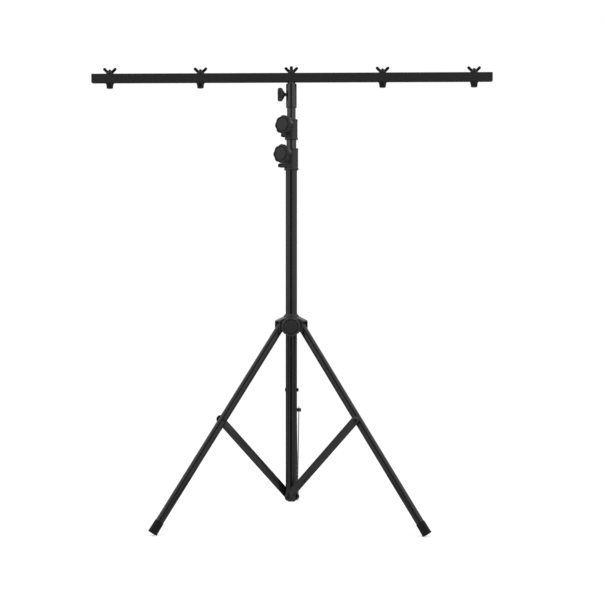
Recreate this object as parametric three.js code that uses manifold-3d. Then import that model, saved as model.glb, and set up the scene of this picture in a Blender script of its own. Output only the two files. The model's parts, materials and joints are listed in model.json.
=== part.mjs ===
// Lighting stand with a T-bar: a telescoping mast on a folding tripod, with a square crossbar
// that carries fixtures on bolts and wing nuts. Millimetres, +Z up.

import * as THREE from 'three';
import { mergeVertices } from 'three/addons/utils/BufferGeometryUtils.js';
import Module from 'manifold-3d';

const wasm = await Module();
wasm.setup();

// Fits and cuts
const FIT_GAP = 0.3; // between two pieces that are fixed together
const SLIDE_GAP = 0.4; // between two pieces that slide or turn
const OVERRUN = 2; // how far a cutting tool passes the surface that it cuts

// Crossbar
const BAR_LENGTH = 1200;
const BAR_SIDE = 26;
const BAR_WALL = 1.8;
const BAR_CORNER = 2;
const BAR_BOLT_INSET = 54; // outermost bolt to the end of the bar
const CAP_THICKNESS = 3;
const CAP_SPIGOT = 18;

// Mast tubes
const LOWER_DIAMETER = 34;
const LOWER_WALL = 1.5;
const LOWER_BASE_HEIGHT = 97;
const LOWER_LENGTH = 1008;
const MIDDLE_DIAMETER = 29.4;
const MIDDLE_WALL = 1.2;
const MIDDLE_SHOWN = 26;
const TOP_DIAMETER = 25.8;
const TOP_WALL = 1.4;
const TOP_SHOWN = 35;

// Bushes on the lower ends of the inner tubes, and the bolt that the middle tube comes down on
const FOOT_BUSH_FLANGE = 10;
const FOOT_BUSH_SPIGOT = 20;
const BUSH_WALL = 2.5;
const STOP_HEIGHT = 398;
const STOP_BOLT_DIAMETER = 6;
const STOP_HEAD_DIAMETER = 12;
const STOP_HEAD_HEIGHT = 1.6;
const STOP_NUT_HEIGHT = 4.4;

// Clamp collars on the lower and the middle tube
const COLLAR_LIP = 3;
const GUIDE_BUSH_HEIGHT = 12;
const LOWER_COLLAR_DIAMETER = 40.4;
const LOWER_COLLAR_HEIGHT = 65;
const UPPER_COLLAR_DIAMETER = 37;
const UPPER_COLLAR_HEIGHT = 61;
const COLLAR_FLARE = 1.2;
const COLLAR_FLARE_HEIGHT = 6;
const COLLAR_CHAMFER = 1.5;
const LOWER_BOSS_REACH = 34;
const UPPER_BOSS_REACH = 25;
const CLAMP_BOSS_DIAMETER = 24;
const CLAMP_KNOB_DROP = 20;
const CLAMP_AZIMUTH = THREE.MathUtils.degToRad(238);
const LOWER_SCREW_REACH = 36;
const UPPER_SCREW_REACH = 26.5;
const SCREW_AZIMUTH = THREE.MathUtils.degToRad(205);
const SCREW_BOSS_DIAMETER = 13;
const SCREW_RISE = 13;
const SCREW_HEAD_DIAMETER = 12;
const SCREW_HEAD_HEIGHT = 6;
const SCREW_DIAMETER = 5;
const SCREW_DEPTH = 8;

// Knobs and their threaded studs
const KNOB_DIAMETER = 57;
const KNOB_THICKNESS = 25;
const KNOB_NECK_DIAMETER = 20;
const KNOB_LOBES = 8;
const KNOB_LOBE_STEPS = 4;
const KNOB_LOBE_DEPTH = 2.4;
const HUB_KNOB_DIAMETER = 57;
const THUMB_KNOB_DIAMETER = 41;
const THUMB_KNOB_THICKNESS = 25;
const THUMB_NECK_DIAMETER = 11;
const THUMB_KNOB_LOBES = 6;
const THUMB_LOBE_DEPTH = 3;
// Shares of a knob's thickness, or pairs with its radius first
const KNOB_NECK_SHARE = 0.12;
const KNOB_PROFILE_SHARES = [[0.9, 0.16], [1, 0.24], [1, 0.84], [0.9, 0.97], [0.6, 1]];
const THUMB_NECK_SHARE = 0.14;
const THUMB_PROFILE_SHARES = [[0.55, 0.24], [0.85, 0.4], [1, 0.52], [1, 0.84], [0.86, 0.98], [0.6, 1]];
const STUD_DIAMETER = 8;
const STUD_GRIP = 12;

// Socket that carries the crossbar
const SOCKET_DIAMETER = 32;
const SOCKET_HEIGHT = 72;
const SOCKET_ROUNDING = 4;
const SOCKET_ROOF = 6;
const SOCKET_NECK_DIAMETER = 23;
const SOCKET_NECK_HEIGHT = 5;
const THUMB_SCREW_DROP = 32;
const POST_RISE = 21;
const POST_DIAMETER = 10;

// Fixture bolts and wing nuts
const BOLT_DIAMETER = 8;
const BOLT_RISE = 13.5;
const BOLT_HEAD_DIAMETER = 23;
const BOLT_HEAD_END_DIAMETER = 19;
const BOLT_HEAD_HEIGHT = 15;
const BOLT_FLANGE_DIAMETER = 25;
const BOLT_FLANGE_THICKNESS = 2;
const WING_HUB_DIAMETER = 22;
const WING_HUB_TOP_DIAMETER = 13;
const WING_HUB_HEIGHT = 10;
const WING_SPAN = 41;
const WING_RISE = 19;
const WING_WIDTH = 8.8;
const WING_THICKNESS = 3;

// Leg linkage: pivot places in the plane of each leg
const HUB_PIVOT_REACH = 36;
const MID_PIVOT_REACH = 227;
const LEG_LINK = 330;
const BRACE_LINK = 330;
const BRACKET_PIVOT_HEIGHT = 79;
const PIVOT_DIAMETER = 6;
const PIVOT_HEAD_DIAMETER = 13;
const PIVOT_HEAD_HEIGHT = 4;
const PIVOT_NUT_DIAMETER = 12;
const PIVOT_NUT_HEIGHT = 5;
const SPACER_DIAMETER = 12;

// Legs, feet and braces
const LEG_DIAMETER = 24.4;
const LEG_WALL = 1.5;
const LEG_TUBE_DROP = 8; // from the hub's pivot down to the tube's end
const LEG_PLUG_LENGTH = 30;
const FOOT_DIAMETER = 29;
const FOOT_TOP_DIAMETER = 27;
const FOOT_LENGTH = 38;
const FOOT_SOLE = 6;
const FOOT_FLAT = 1.5;
const BRACE_WIDTH = 24;
const BRACE_THICKNESS = 2.5;

// Hub that slides on the lower mast
const HUB_BODY_DIAMETER = 46;
const HUB_NECK_DIAMETER = 37.6;
const HUB_DEPTH = 20;
const HUB_SHOULDER = 31;
const HUB_RISE = 38;
const HUB_BUSH_WALL = 1.9;
const HUB_BUSH_HEIGHT = 44;
const HUB_BOSS_DIAMETER = 26;
const HUB_BOSS_REACH = 35;
const HOOD_WALL = 3;
const HOOD_ROOF = 3.5;
const HOOD_REACH = 48;
const HOOD_ROOT_RISE = 32; // of the roof over the pivot, at the hood's root
const HOOD_END_RISE = 18;
const HOOD_DROP = 16;
const HOOD_ROUNDING = 5;
const HOOD_ROOT_SHARE = 0.7; // of the hub's radius

// Bracket in the foot of the lower mast
const BRACKET_BASE_HEIGHT = 64;
const BRACKET_CHAMFER = 6;
const BRACKET_SPIGOT = 30;

// Counts of flat sides on round pieces
const TUBE_SIDES = 28;
const BUSH_SIDES = 20;
const BOSS_SIDES = 18;
const BOLT_SIDES = 12;
const HEX_SIDES = 6;
const ARC_STEPS = 6;
const CORNER_STEPS = 2;

// Places worked out from the sizes above
const legAngle = Math.asin((MID_PIVOT_REACH - HUB_PIVOT_REACH) / LEG_LINK);
const braceAngle = Math.asin(MID_PIVOT_REACH / BRACE_LINK);
const midPivotHeight = BRACKET_PIVOT_HEIGHT + BRACE_LINK * Math.cos(braceAngle);
const hubHeight = midPivotHeight + LEG_LINK * Math.cos(legAngle);
const legLength = (hubHeight - FOOT_DIAMETER / 2 * Math.sin(legAngle) + FOOT_FLAT) / Math.cos(legAngle);

const lowerRadius = LOWER_DIAMETER / 2;
const middleRadius = MIDDLE_DIAMETER / 2;
const topRadius = TOP_DIAMETER / 2;
const legRadius = LEG_DIAMETER / 2;
const studRadius = STUD_DIAMETER / 2;

const lowerTop = LOWER_BASE_HEIGHT + LOWER_LENGTH;
const lowerCollarTop = lowerTop + FIT_GAP + GUIDE_BUSH_HEIGHT + FIT_GAP + COLLAR_LIP;
const upperCollarBase = lowerCollarTop + MIDDLE_SHOWN;
const upperCollarTop = upperCollarBase + UPPER_COLLAR_HEIGHT;
const middleTop = upperCollarTop - COLLAR_LIP - FIT_GAP - GUIDE_BUSH_HEIGHT - FIT_GAP;
const middleFoot = STOP_HEIGHT + STOP_BOLT_DIAMETER / 2 + FIT_GAP;
const middleBase = middleFoot + FOOT_BUSH_FLANGE + FIT_GAP;
const topFoot = middleBase + FOOT_BUSH_SPIGOT + FIT_GAP;
const topBase = topFoot + FOOT_BUSH_FLANGE + FIT_GAP;
const socketBase = upperCollarTop + TOP_SHOWN;
const socketTop = socketBase + SOCKET_HEIGHT;
const barBottom = socketTop + SOCKET_NECK_HEIGHT + FIT_GAP;
const barTop = barBottom + BAR_SIDE;
const topEnd = socketTop - SOCKET_ROOF - FIT_GAP;
const braceInner = lowerRadius + FIT_GAP;
const braceOuter = braceInner + BRACE_THICKNESS;

// Materials
const paintedSteel = new THREE.MeshStandardMaterial({ color: 0x2e2e2f, roughness: 0.45, metalness: 0.3 });
const barSteel = new THREE.MeshStandardMaterial({ color: 0x272728, roughness: 0.55, metalness: 0.3 });
const darkFastener = new THREE.MeshStandardMaterial({ color: 0x1c1c1d, roughness: 0.4, metalness: 0.6 });
const castBlack = new THREE.MeshStandardMaterial({ color: 0x303032, roughness: 0.5, metalness: 0.1 });
const knobPlastic = new THREE.MeshStandardMaterial({ color: 0x333335, roughness: 0.5, metalness: 0 });
const bushPlastic = new THREE.MeshStandardMaterial({ color: 0x252526, roughness: 0.6, metalness: 0 });
const footRubber = new THREE.MeshStandardMaterial({ color: 0x161616, roughness: 0.8, metalness: 0 });

// A closed mesh with shared vertices, no flat triangles and its faces outward
function closed(geometry) {
  const bare = geometry.clone();
  bare.deleteAttribute('normal');
  bare.deleteAttribute('uv');
  const merged = mergeVertices(bare);
  const source = merged.index.array;
  const place = merged.attributes.position;
  const corner = [new THREE.Vector3(), new THREE.Vector3(), new THREE.Vector3()];
  const kept = [];
  let volume = 0;
  for (let i = 0; i < source.length; i += 3) {
    const [a, b, c] = source.subarray(i, i + 3);
    if (a === b || b === c || c === a) continue;
    kept.push(a, b, c);
    [a, b, c].forEach((index, k) => corner[k].fromBufferAttribute(place, index));
    volume += corner[0].dot(corner[1].cross(corner[2]));
  }
  merged.setIndex(volume < 0 ? kept.reverse() : kept);
  return merged;
}

function solid(geometry) {
  const mesh = closed(geometry);
  const vertProperties = new Float32Array(mesh.attributes.position.array);
  const triVerts = new Uint32Array(mesh.index.array);
  return new wasm.Manifold(new wasm.Mesh({ numProp: 3, vertProperties, triVerts }));
}

function geometryOf(manifold) {
  const result = manifold.getMesh();
  const geometry = new THREE.BufferGeometry();
  geometry.setAttribute('position', new THREE.BufferAttribute(result.vertProperties, 3));
  geometry.setIndex(new THREE.BufferAttribute(result.triVerts, 1));
  return geometry;
}

// The first solid, with the others joined to it
function joined(first, ...others) {
  return others.reduce((sum, other) => sum.add(solid(other)), solid(first));
}

// The manifold with each tool taken away
function without(manifold, ...tools) {
  return tools.reduce((rest, tool) => rest.subtract(solid(tool)), manifold);
}

// A round solid about Z from [radius, height] points
function turned(points, sides = TUBE_SIDES) {
  const profile = points.map(([radius, height]) => new THREE.Vector2(radius, height));
  return new THREE.LatheGeometry(profile, sides).rotateX(Math.PI / 2);
}

function tube(inner, outer, base, top, sides = TUBE_SIDES) {
  return turned([[inner, base], [outer, base], [outer, top], [inner, top], [inner, base]], sides);
}

function rod(radius, base, top, sides = BOLT_SIDES) {
  return turned([[0, base], [radius, base], [radius, top], [0, top]], sides);
}

// A flat shape of [x, y] points, pushed up from zero by a height
function plate(points, height, holes = []) {
  const shape = new THREE.Shape(points.map(([x, y]) => new THREE.Vector2(x, y)));
  shape.holes = holes.map((hole) => new THREE.Path(hole.map(([x, y]) => new THREE.Vector2(x, y))));
  return new THREE.ExtrudeGeometry(shape, { depth: height, bevelEnabled: false, curveSegments: ARC_STEPS });
}

// Points on an arc, both ends included
function arc(x, y, radius, from, to, steps = ARC_STEPS) {
  const points = [];
  for (let i = 0; i <= steps; i += 1) {
    const angle = from + (to - from) * i / steps;
    points.push([x + radius * Math.cos(angle), y + radius * Math.sin(angle)]);
  }
  return points;
}

function circle(x, y, radius, sides = BOLT_SIDES) {
  return arc(x, y, radius, 0, 2 * Math.PI, sides).slice(0, sides);
}

// A square outline with rounded corners, centred on zero
function roundedSquare(side, rounding) {
  const half = side / 2 - rounding;
  const corners = [[half, half], [-half, half], [-half, -half], [half, -half]];
  return corners.flatMap(([x, y], i) => {
    const from = i * Math.PI / 2;
    return arc(x, y, rounding, from, from + Math.PI / 2, CORNER_STEPS);
  });
}

// Turns a solid that was made along +Z so that it points along +X
function alongX(geometry) {
  return geometry.rotateY(Math.PI / 2);
}

// Turns a solid that was made along +Z so that it points along +Y
function alongY(geometry) {
  return geometry.rotateX(-Math.PI / 2);
}

function radial(geometry, azimuth, height) {
  return alongX(geometry).rotateZ(azimuth).translate(0, 0, height);
}

const stand = new THREE.Group();

function piece(parent, name, source, material) {
  const geometry = source.isBufferGeometry ? closed(source) : geometryOf(source);
  geometry.computeVertexNormals();
  const mesh = new THREE.Mesh(geometry, material);
  mesh.name = name;
  parent.add(mesh);
  return mesh;
}

// Lower mast, with holes for the clamp stud and for the stop bolt
const lowerKnobHeight = lowerCollarTop - CLAMP_KNOB_DROP;
const studHoleRadius = studRadius + FIT_GAP;
const stopHole = alongX(rod(STOP_BOLT_DIAMETER / 2 + FIT_GAP, -LOWER_DIAMETER, LOWER_DIAMETER));
const lowerTube = without(
  solid(tube(lowerRadius - LOWER_WALL, lowerRadius, LOWER_BASE_HEIGHT, lowerTop)),
  radial(rod(studHoleRadius, 0, LOWER_DIAMETER), CLAMP_AZIMUTH, lowerKnobHeight),
  stopHole.translate(0, 0, STOP_HEIGHT),
);
piece(stand, 'lower_mast', lowerTube, paintedSteel);

// Stop bolt across the lower mast: a low head on the left, and the nut run tight on the right
const stopSeat = lowerRadius + FIT_GAP;
const stopBolt = joined(
  rod(STOP_BOLT_DIAMETER / 2, -stopSeat - STOP_HEAD_HEIGHT / 2, stopSeat + STOP_NUT_HEIGHT / 2),
  rod(STOP_HEAD_DIAMETER / 2, -stopSeat - STOP_HEAD_HEIGHT, -stopSeat),
  rod(STOP_HEAD_DIAMETER / 2, stopSeat, stopSeat + STOP_NUT_HEIGHT, HEX_SIDES),
);
piece(stand, 'stop_bolt', alongX(geometryOf(stopBolt)).translate(0, 0, STOP_HEIGHT), darkFastener);

// Bracket in the foot of the mast: a spigot in the tube, and a body with a screw hole for each brace
const LEGS = [
  { side: 'left', azimuth: THREE.MathUtils.degToRad(210) },
  { side: 'right', azimuth: THREE.MathUtils.degToRad(330) },
  { side: 'back', azimuth: THREE.MathUtils.degToRad(90) },
];
const pivotRadius = PIVOT_DIAMETER / 2;
const screwTip = lowerRadius / 2;
const bracketTop = LOWER_BASE_HEIGHT - FIT_GAP;
const spigotRadius = lowerRadius - LOWER_WALL - FIT_GAP;
const bracketBody = turned([
  [0, BRACKET_BASE_HEIGHT],
  [lowerRadius - BRACKET_CHAMFER, BRACKET_BASE_HEIGHT],
  [lowerRadius, BRACKET_BASE_HEIGHT + BRACKET_CHAMFER],
  [lowerRadius, bracketTop],
  [spigotRadius, bracketTop],
  [spigotRadius, bracketTop + BRACKET_SPIGOT],
  [0, bracketTop + BRACKET_SPIGOT],
]);
const screwHoles = LEGS.map(({ azimuth }) => radial(
  rod(pivotRadius + FIT_GAP, screwTip - FIT_GAP, LOWER_DIAMETER),
  azimuth - Math.PI / 2,
  BRACKET_PIVOT_HEIGHT,
));
piece(stand, 'brace_bracket', without(solid(bracketBody), ...screwHoles), castBlack);

// Clamp collar on the upper end of a tube: the tube's seat, a bore for the next tube, the knob's
// boss and, lower and further round, the boss of the fixing screw
function collar(sizes) {
  const { tubeRadius, innerTubeRadius, diameter, base, top, bossReach, knobHeight } = sizes;
  const { screwReach, screwHeight } = sizes;
  const outer = diameter / 2;
  const seat = tubeRadius + FIT_GAP;
  const lip = innerTubeRadius + SLIDE_GAP + FIT_GAP;
  const body = turned([
    [seat, base],
    [outer + COLLAR_FLARE - COLLAR_CHAMFER, base],
    [outer + COLLAR_FLARE, base + COLLAR_CHAMFER],
    [outer + COLLAR_FLARE, base + COLLAR_FLARE_HEIGHT],
    [outer, base + COLLAR_FLARE_HEIGHT + COLLAR_FLARE],
    [outer, top - COLLAR_CHAMFER],
    [outer - COLLAR_CHAMFER, top],
    [lip, top],
    [lip, top - COLLAR_LIP],
    [seat, top - COLLAR_LIP],
    [seat, base],
  ]);
  const knobBoss = rod(CLAMP_BOSS_DIAMETER / 2, seat, bossReach, BOSS_SIDES);
  const screwBoss = rod(SCREW_BOSS_DIAMETER / 2, seat, screwReach);
  const bore = tube(0, seat, base - OVERRUN, top - COLLAR_LIP);
  const mouth = tube(0, lip, base - OVERRUN, top + OVERRUN);
  const studHole = radial(rod(studHoleRadius, 0, bossReach + OVERRUN), CLAMP_AZIMUTH, knobHeight);
  const screwHole = radial(
    rod(SCREW_DIAMETER / 2 + FIT_GAP, screwReach - SCREW_DEPTH - FIT_GAP, screwReach + OVERRUN),
    SCREW_AZIMUTH,
    screwHeight,
  );
  const blank = joined(
    body,
    radial(knobBoss, CLAMP_AZIMUTH, knobHeight),
    radial(screwBoss, SCREW_AZIMUTH, screwHeight),
  );
  return without(blank, bore, mouth, studHole, screwHole);
}

const lowerCollar = {
  tubeRadius: lowerRadius,
  innerTubeRadius: middleRadius,
  diameter: LOWER_COLLAR_DIAMETER,
  base: lowerCollarTop - LOWER_COLLAR_HEIGHT,
  top: lowerCollarTop,
  bossReach: LOWER_BOSS_REACH,
  knobHeight: lowerKnobHeight,
  screwReach: LOWER_SCREW_REACH,
  screwHeight: lowerCollarTop - LOWER_COLLAR_HEIGHT + SCREW_RISE,
};
const upperKnobHeight = upperCollarTop - CLAMP_KNOB_DROP;
const upperCollar = {
  tubeRadius: middleRadius,
  innerTubeRadius: topRadius,
  diameter: UPPER_COLLAR_DIAMETER,
  base: upperCollarBase,
  top: upperCollarTop,
  bossReach: UPPER_BOSS_REACH,
  knobHeight: upperKnobHeight,
  screwReach: UPPER_SCREW_REACH,
  screwHeight: upperCollarBase + SCREW_RISE,
};

// Guide bush on the end of a tube, under the lip of its collar
function guideBush(tubeRadius, innerTubeRadius, tubeTop) {
  const base = tubeTop + FIT_GAP;
  return tube(innerTubeRadius + SLIDE_GAP, tubeRadius, base, base + GUIDE_BUSH_HEIGHT, BUSH_SIDES);
}

// Fixing screw of a collar: a domed head on the boss, and its shank
function fixingScrew({ screwReach, screwHeight }) {
  const seat = screwReach + FIT_GAP;
  const headRadius = SCREW_HEAD_DIAMETER / 2;
  const screw = turned([
    [0, screwReach - SCREW_DEPTH],
    [SCREW_DIAMETER / 2, screwReach - SCREW_DEPTH],
    [SCREW_DIAMETER / 2, seat],
    [headRadius, seat],
    [headRadius, seat + SCREW_HEAD_HEIGHT / 2],
    [headRadius * Math.SQRT1_2, seat + SCREW_HEAD_HEIGHT],
    [0, seat + SCREW_HEAD_HEIGHT],
  ], BOLT_SIDES);
  return radial(screw, SCREW_AZIMUTH, screwHeight);
}

// Lobed knob along +Z from its back at zero
function lobedKnob({ diameter, thickness, neckDiameter, neckShare, profileShares, lobes, lobeDepth }) {
  const radius = diameter / 2;
  const neck = neckDiameter / 2;
  const profile = [
    [0, 0],
    [neck, 0],
    [neck, thickness * neckShare],
    ...profileShares.map(([reach, rise]) => [radius * reach, thickness * rise]),
    [0, thickness],
  ];
  const knob = turned(profile, lobes * KNOB_LOBE_STEPS);
  const place = knob.attributes.position;
  for (let i = 0; i < place.count; i += 1) {
    const x = place.getX(i);
    const y = place.getY(i);
    const reach = Math.hypot(x, y);
    if (reach <= neck) continue;
    const wave = (1 - Math.cos(lobes * Math.atan2(y, x))) / 2;
    const share = 1 - wave * lobeDepth / radius * (reach - neck) / (radius - neck);
    place.setXY(i, x * share, y * share);
  }
  return knob;
}

// Large knob and its stud on a radial line: the knob's back lies just off the boss, and the stud
// runs from a blind bore in the knob to just off the tube
function knobAndStud(name, diameter, azimuth, height, bossReach, tubeRadius) {
  const back = bossReach + SLIDE_GAP;
  const grip = lobedKnob({
    diameter,
    thickness: KNOB_THICKNESS,
    neckDiameter: KNOB_NECK_DIAMETER,
    neckShare: KNOB_NECK_SHARE,
    profileShares: KNOB_PROFILE_SHARES,
    lobes: KNOB_LOBES,
    lobeDepth: KNOB_LOBE_DEPTH,
  });
  const knob = geometryOf(without(solid(grip), rod(studHoleRadius, -OVERRUN, STUD_GRIP + FIT_GAP)));
  piece(stand, `${name}_knob`, radial(knob.translate(0, 0, back), azimuth, height), knobPlastic);
  const stud = rod(studRadius, tubeRadius + FIT_GAP, back + STUD_GRIP);
  piece(stand, `${name}_stud`, radial(stud, azimuth, height), darkFastener);
}

piece(stand, 'lower_clamp', collar(lowerCollar), castBlack);
piece(stand, 'lower_guide_bush', guideBush(lowerRadius, middleRadius, lowerTop), bushPlastic);
piece(stand, 'lower_clamp_screw', fixingScrew(lowerCollar), darkFastener);
knobAndStud('lower_clamp', KNOB_DIAMETER, CLAMP_AZIMUTH, lowerKnobHeight, LOWER_BOSS_REACH, middleRadius);

// Plastic bush on the lower end of an inner tube: a flange that runs in the outer tube, a spigot above it
function footBush(tubeRadius, wall, outerBore, foot) {
  const flange = outerBore - SLIDE_GAP;
  const spigot = tubeRadius - wall - FIT_GAP;
  const shoulder = foot + FOOT_BUSH_FLANGE;
  return turned([
    [spigot - BUSH_WALL, foot],
    [flange, foot],
    [flange, shoulder],
    [spigot, shoulder],
    [spigot, shoulder + FOOT_BUSH_SPIGOT],
    [spigot - BUSH_WALL, shoulder + FOOT_BUSH_SPIGOT],
    [spigot - BUSH_WALL, foot],
  ], BUSH_SIDES);
}

// Middle tube and what is fixed to it
const lowerBore = lowerRadius - LOWER_WALL;
const middleBore = middleRadius - MIDDLE_WALL;
const middleTube = without(
  solid(tube(middleBore, middleRadius, middleBase, middleTop)),
  radial(rod(studHoleRadius, 0, MIDDLE_DIAMETER), CLAMP_AZIMUTH, upperKnobHeight),
);
piece(stand, 'middle_tube', middleTube, paintedSteel);
piece(stand, 'middle_foot_bush', footBush(middleRadius, MIDDLE_WALL, lowerBore, middleFoot), bushPlastic);
piece(stand, 'upper_clamp', collar(upperCollar), castBlack);
piece(stand, 'upper_guide_bush', guideBush(middleRadius, topRadius, middleTop), bushPlastic);
piece(stand, 'upper_clamp_screw', fixingScrew(upperCollar), darkFastener);
knobAndStud('upper_clamp', KNOB_DIAMETER, CLAMP_AZIMUTH, upperKnobHeight, UPPER_BOSS_REACH, topRadius);

// Top tube
piece(stand, 'top_tube', tube(topRadius - TOP_WALL, topRadius, topBase, topEnd), paintedSteel);
piece(stand, 'top_foot_bush', footBush(topRadius, TOP_WALL, middleBore, topFoot), bushPlastic);

// Socket that slips over the top tube, with the neck that the bar rests on
const socketRadius = SOCKET_DIAMETER / 2;
const neckRadius = SOCKET_NECK_DIAMETER / 2;
const socketBore = topRadius + SLIDE_GAP;
const thumbHeight = socketTop - THUMB_SCREW_DROP;
const postRadius = POST_DIAMETER / 2;
const socketEdge = socketRadius - SOCKET_ROUNDING;
const footCentre = socketBase + SOCKET_ROUNDING;
const headCentre = socketTop - SOCKET_ROUNDING;
const socketShell = turned([
  [socketBore, socketBase],
  ...arc(socketEdge, footCentre, SOCKET_ROUNDING, -Math.PI / 2, 0, CORNER_STEPS),
  ...arc(socketEdge, headCentre, SOCKET_ROUNDING, 0, Math.PI / 2, CORNER_STEPS),
  [neckRadius, socketTop],
  [neckRadius, socketTop + SOCKET_NECK_HEIGHT],
  [postRadius + FIT_GAP, socketTop + SOCKET_NECK_HEIGHT],
  [postRadius + FIT_GAP, socketTop - SOCKET_ROOF],
  [socketBore, socketTop - SOCKET_ROOF],
  [socketBore, socketBase],
]);
const thumbHole = radial(rod(studHoleRadius, 0, SOCKET_DIAMETER), Math.PI, thumbHeight);
piece(stand, 'socket', without(solid(socketShell), thumbHole), paintedSteel);

// Threaded post from the socket's neck through the bar, with a domed end
function domedRod(radius, base, top) {
  return turned([
    [0, base],
    [radius, base],
    [radius, top - radius / 2],
    [radius * Math.SQRT1_2, top],
    [0, top],
  ], BOLT_SIDES);
}

const postTop = barTop + POST_RISE;
piece(stand, 'bar_post', domedRod(postRadius, socketTop - SOCKET_ROOF, postTop), darkFastener);

// Thumb screw: a small lobed grip cast on its threaded shank
const thumbGrip = lobedKnob({
  diameter: THUMB_KNOB_DIAMETER,
  thickness: THUMB_KNOB_THICKNESS,
  neckDiameter: THUMB_NECK_DIAMETER,
  neckShare: THUMB_NECK_SHARE,
  profileShares: THUMB_PROFILE_SHARES,
  lobes: THUMB_KNOB_LOBES,
  lobeDepth: THUMB_LOBE_DEPTH,
});
const thumbBack = socketRadius + SLIDE_GAP;
const thumbShank = rod(studRadius, topRadius + FIT_GAP, thumbBack + THUMB_KNOB_THICKNESS / 2);
const thumbScrew = geometryOf(joined(thumbGrip.translate(0, 0, thumbBack), thumbShank));
piece(stand, 'thumb_screw', radial(thumbScrew, Math.PI, thumbHeight), knobPlastic);

// Crossbar: a square tube with five bolt holes, and a plastic cap in each end
const boltPitch = (BAR_LENGTH / 2 - BAR_BOLT_INSET) / 2;
const boltPlaces = [-2, -1, 1, 2].map((step) => step * boltPitch);
const barTubeLength = BAR_LENGTH - 2 * CAP_THICKNESS - 2 * FIT_GAP;
const boltHole = BOLT_DIAMETER / 2 + SLIDE_GAP;
const postHole = postRadius + SLIDE_GAP;
const barCentre = (barBottom + barTop) / 2;
const barOutline = roundedSquare(BAR_SIDE, BAR_CORNER);
const barInside = roundedSquare(BAR_SIDE - 2 * BAR_WALL, BAR_CORNER / 2);
const barBlank = alongX(plate(barOutline, barTubeLength, [barInside]).translate(0, 0, -barTubeLength / 2));
const barHoles = [[0, postHole], ...boltPlaces.map((x) => [x, boltHole])].map(
  ([x, radius]) => rod(radius, barBottom - OVERRUN, barTop + OVERRUN).translate(x, 0, 0),
);
const bar = without(solid(barBlank.translate(0, 0, barCentre)), ...barHoles);
piece(stand, 't_bar', bar, barSteel);

const capSpigotSide = BAR_SIDE - 2 * BAR_WALL - 2 * FIT_GAP;
const capOutline = roundedSquare(capSpigotSide, BAR_CORNER / 2);
const capInside = barTubeLength / 2 - CAP_SPIGOT;
const capFace = barTubeLength / 2 + FIT_GAP;
for (const [name, turn] of [['end_cap_left', Math.PI], ['end_cap_right', 0]]) {
  const cap = joined(
    plate(barOutline, CAP_THICKNESS).translate(0, 0, capFace),
    plate(capOutline, capFace + CAP_THICKNESS / 2 - capInside).translate(0, 0, capInside),
  );
  piece(stand, name, alongX(geometryOf(cap)).rotateZ(turn).translate(0, 0, barCentre), bushPlastic);
}

// Fixture bolt: a tapered six-sided head with a flange under the bar, and a domed end above it
function fixtureBolt() {
  const seat = barBottom - FIT_GAP;
  const headTop = seat - BOLT_FLANGE_THICKNESS;
  const headHeight = BOLT_HEAD_HEIGHT;
  const head = turned([
    [0, headTop - headHeight],
    [BOLT_HEAD_END_DIAMETER / 2, headTop - headHeight],
    [BOLT_HEAD_DIAMETER / 2, headTop],
    [0, headTop],
  ], HEX_SIDES);
  const flange = rod(BOLT_FLANGE_DIAMETER / 2, headTop - BOLT_FLANGE_THICKNESS / 2, seat, BOSS_SIDES);
  const shank = domedRod(BOLT_DIAMETER / 2, headTop - headHeight / 2, barTop + BOLT_RISE);
  return joined(head, flange, shank);
}

// Wing nut on the bar's top face: a tapered hub with two wings along X
function wingNut(boltRadius) {
  const base = barTop + FIT_GAP;
  const hub = turned([
    [0, base],
    [WING_HUB_DIAMETER / 2, base],
    [WING_HUB_DIAMETER / 2, base + BOLT_FLANGE_THICKNESS],
    [WING_HUB_TOP_DIAMETER / 2, base + WING_HUB_HEIGHT],
    [0, base + WING_HUB_HEIGHT],
  ], BOSS_SIDES);
  const tipRadius = WING_WIDTH / 2;
  const tip = [WING_SPAN / 2 - tipRadius, WING_RISE - tipRadius];
  const root = [WING_HUB_TOP_DIAMETER / 2, WING_HUB_HEIGHT / 2];
  const lean = Math.atan2(tip[1] - root[1], tip[0] - root[0]);
  const outline = [
    ...arc(...root, tipRadius, lean + Math.PI / 2, lean + Math.PI * 3 / 2),
    ...arc(...tip, tipRadius, lean - Math.PI / 2, lean + Math.PI / 2),
  ];
  const wings = [0, Math.PI].map((turn) => {
    const wing = plate(outline, WING_THICKNESS).translate(0, 0, -WING_THICKNESS / 2);
    return wing.rotateX(Math.PI / 2).rotateZ(turn).translate(0, 0, base);
  });
  return without(joined(hub, ...wings), rod(boltRadius + FIT_GAP, base - OVERRUN, base + WING_RISE));
}

boltPlaces.forEach((x, i) => {
  const bolt = piece(stand, `fixture_bolt_${i + 1}`, fixtureBolt(), darkFastener);
  const nut = piece(stand, `wing_nut_${i + 1}`, wingNut(BOLT_DIAMETER / 2), darkFastener);
  bolt.position.x = x;
  nut.position.x = x;
});
piece(stand, 'centre_wing_nut', wingNut(postRadius), darkFastener);

// Hub: a turned body with a coned neck, three hoods, and the knob's boss in front
const hubBore = lowerRadius + SLIDE_GAP;
const bushSeat = hubBore + HUB_BUSH_WALL + FIT_GAP;
const hubBase = hubHeight - HUB_DEPTH;
const hubTop = hubHeight + HUB_RISE;
const bushTop = hubBase + HUB_BUSH_HEIGHT;
const hubBodyRadius = HUB_BODY_DIAMETER / 2;
const hubBlank = turned([
  [0, hubBase],
  [hubBodyRadius, hubBase],
  [hubBodyRadius, hubHeight + HUB_SHOULDER],
  [HUB_NECK_DIAMETER / 2, hubTop],
  [0, hubTop],
]);

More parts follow.
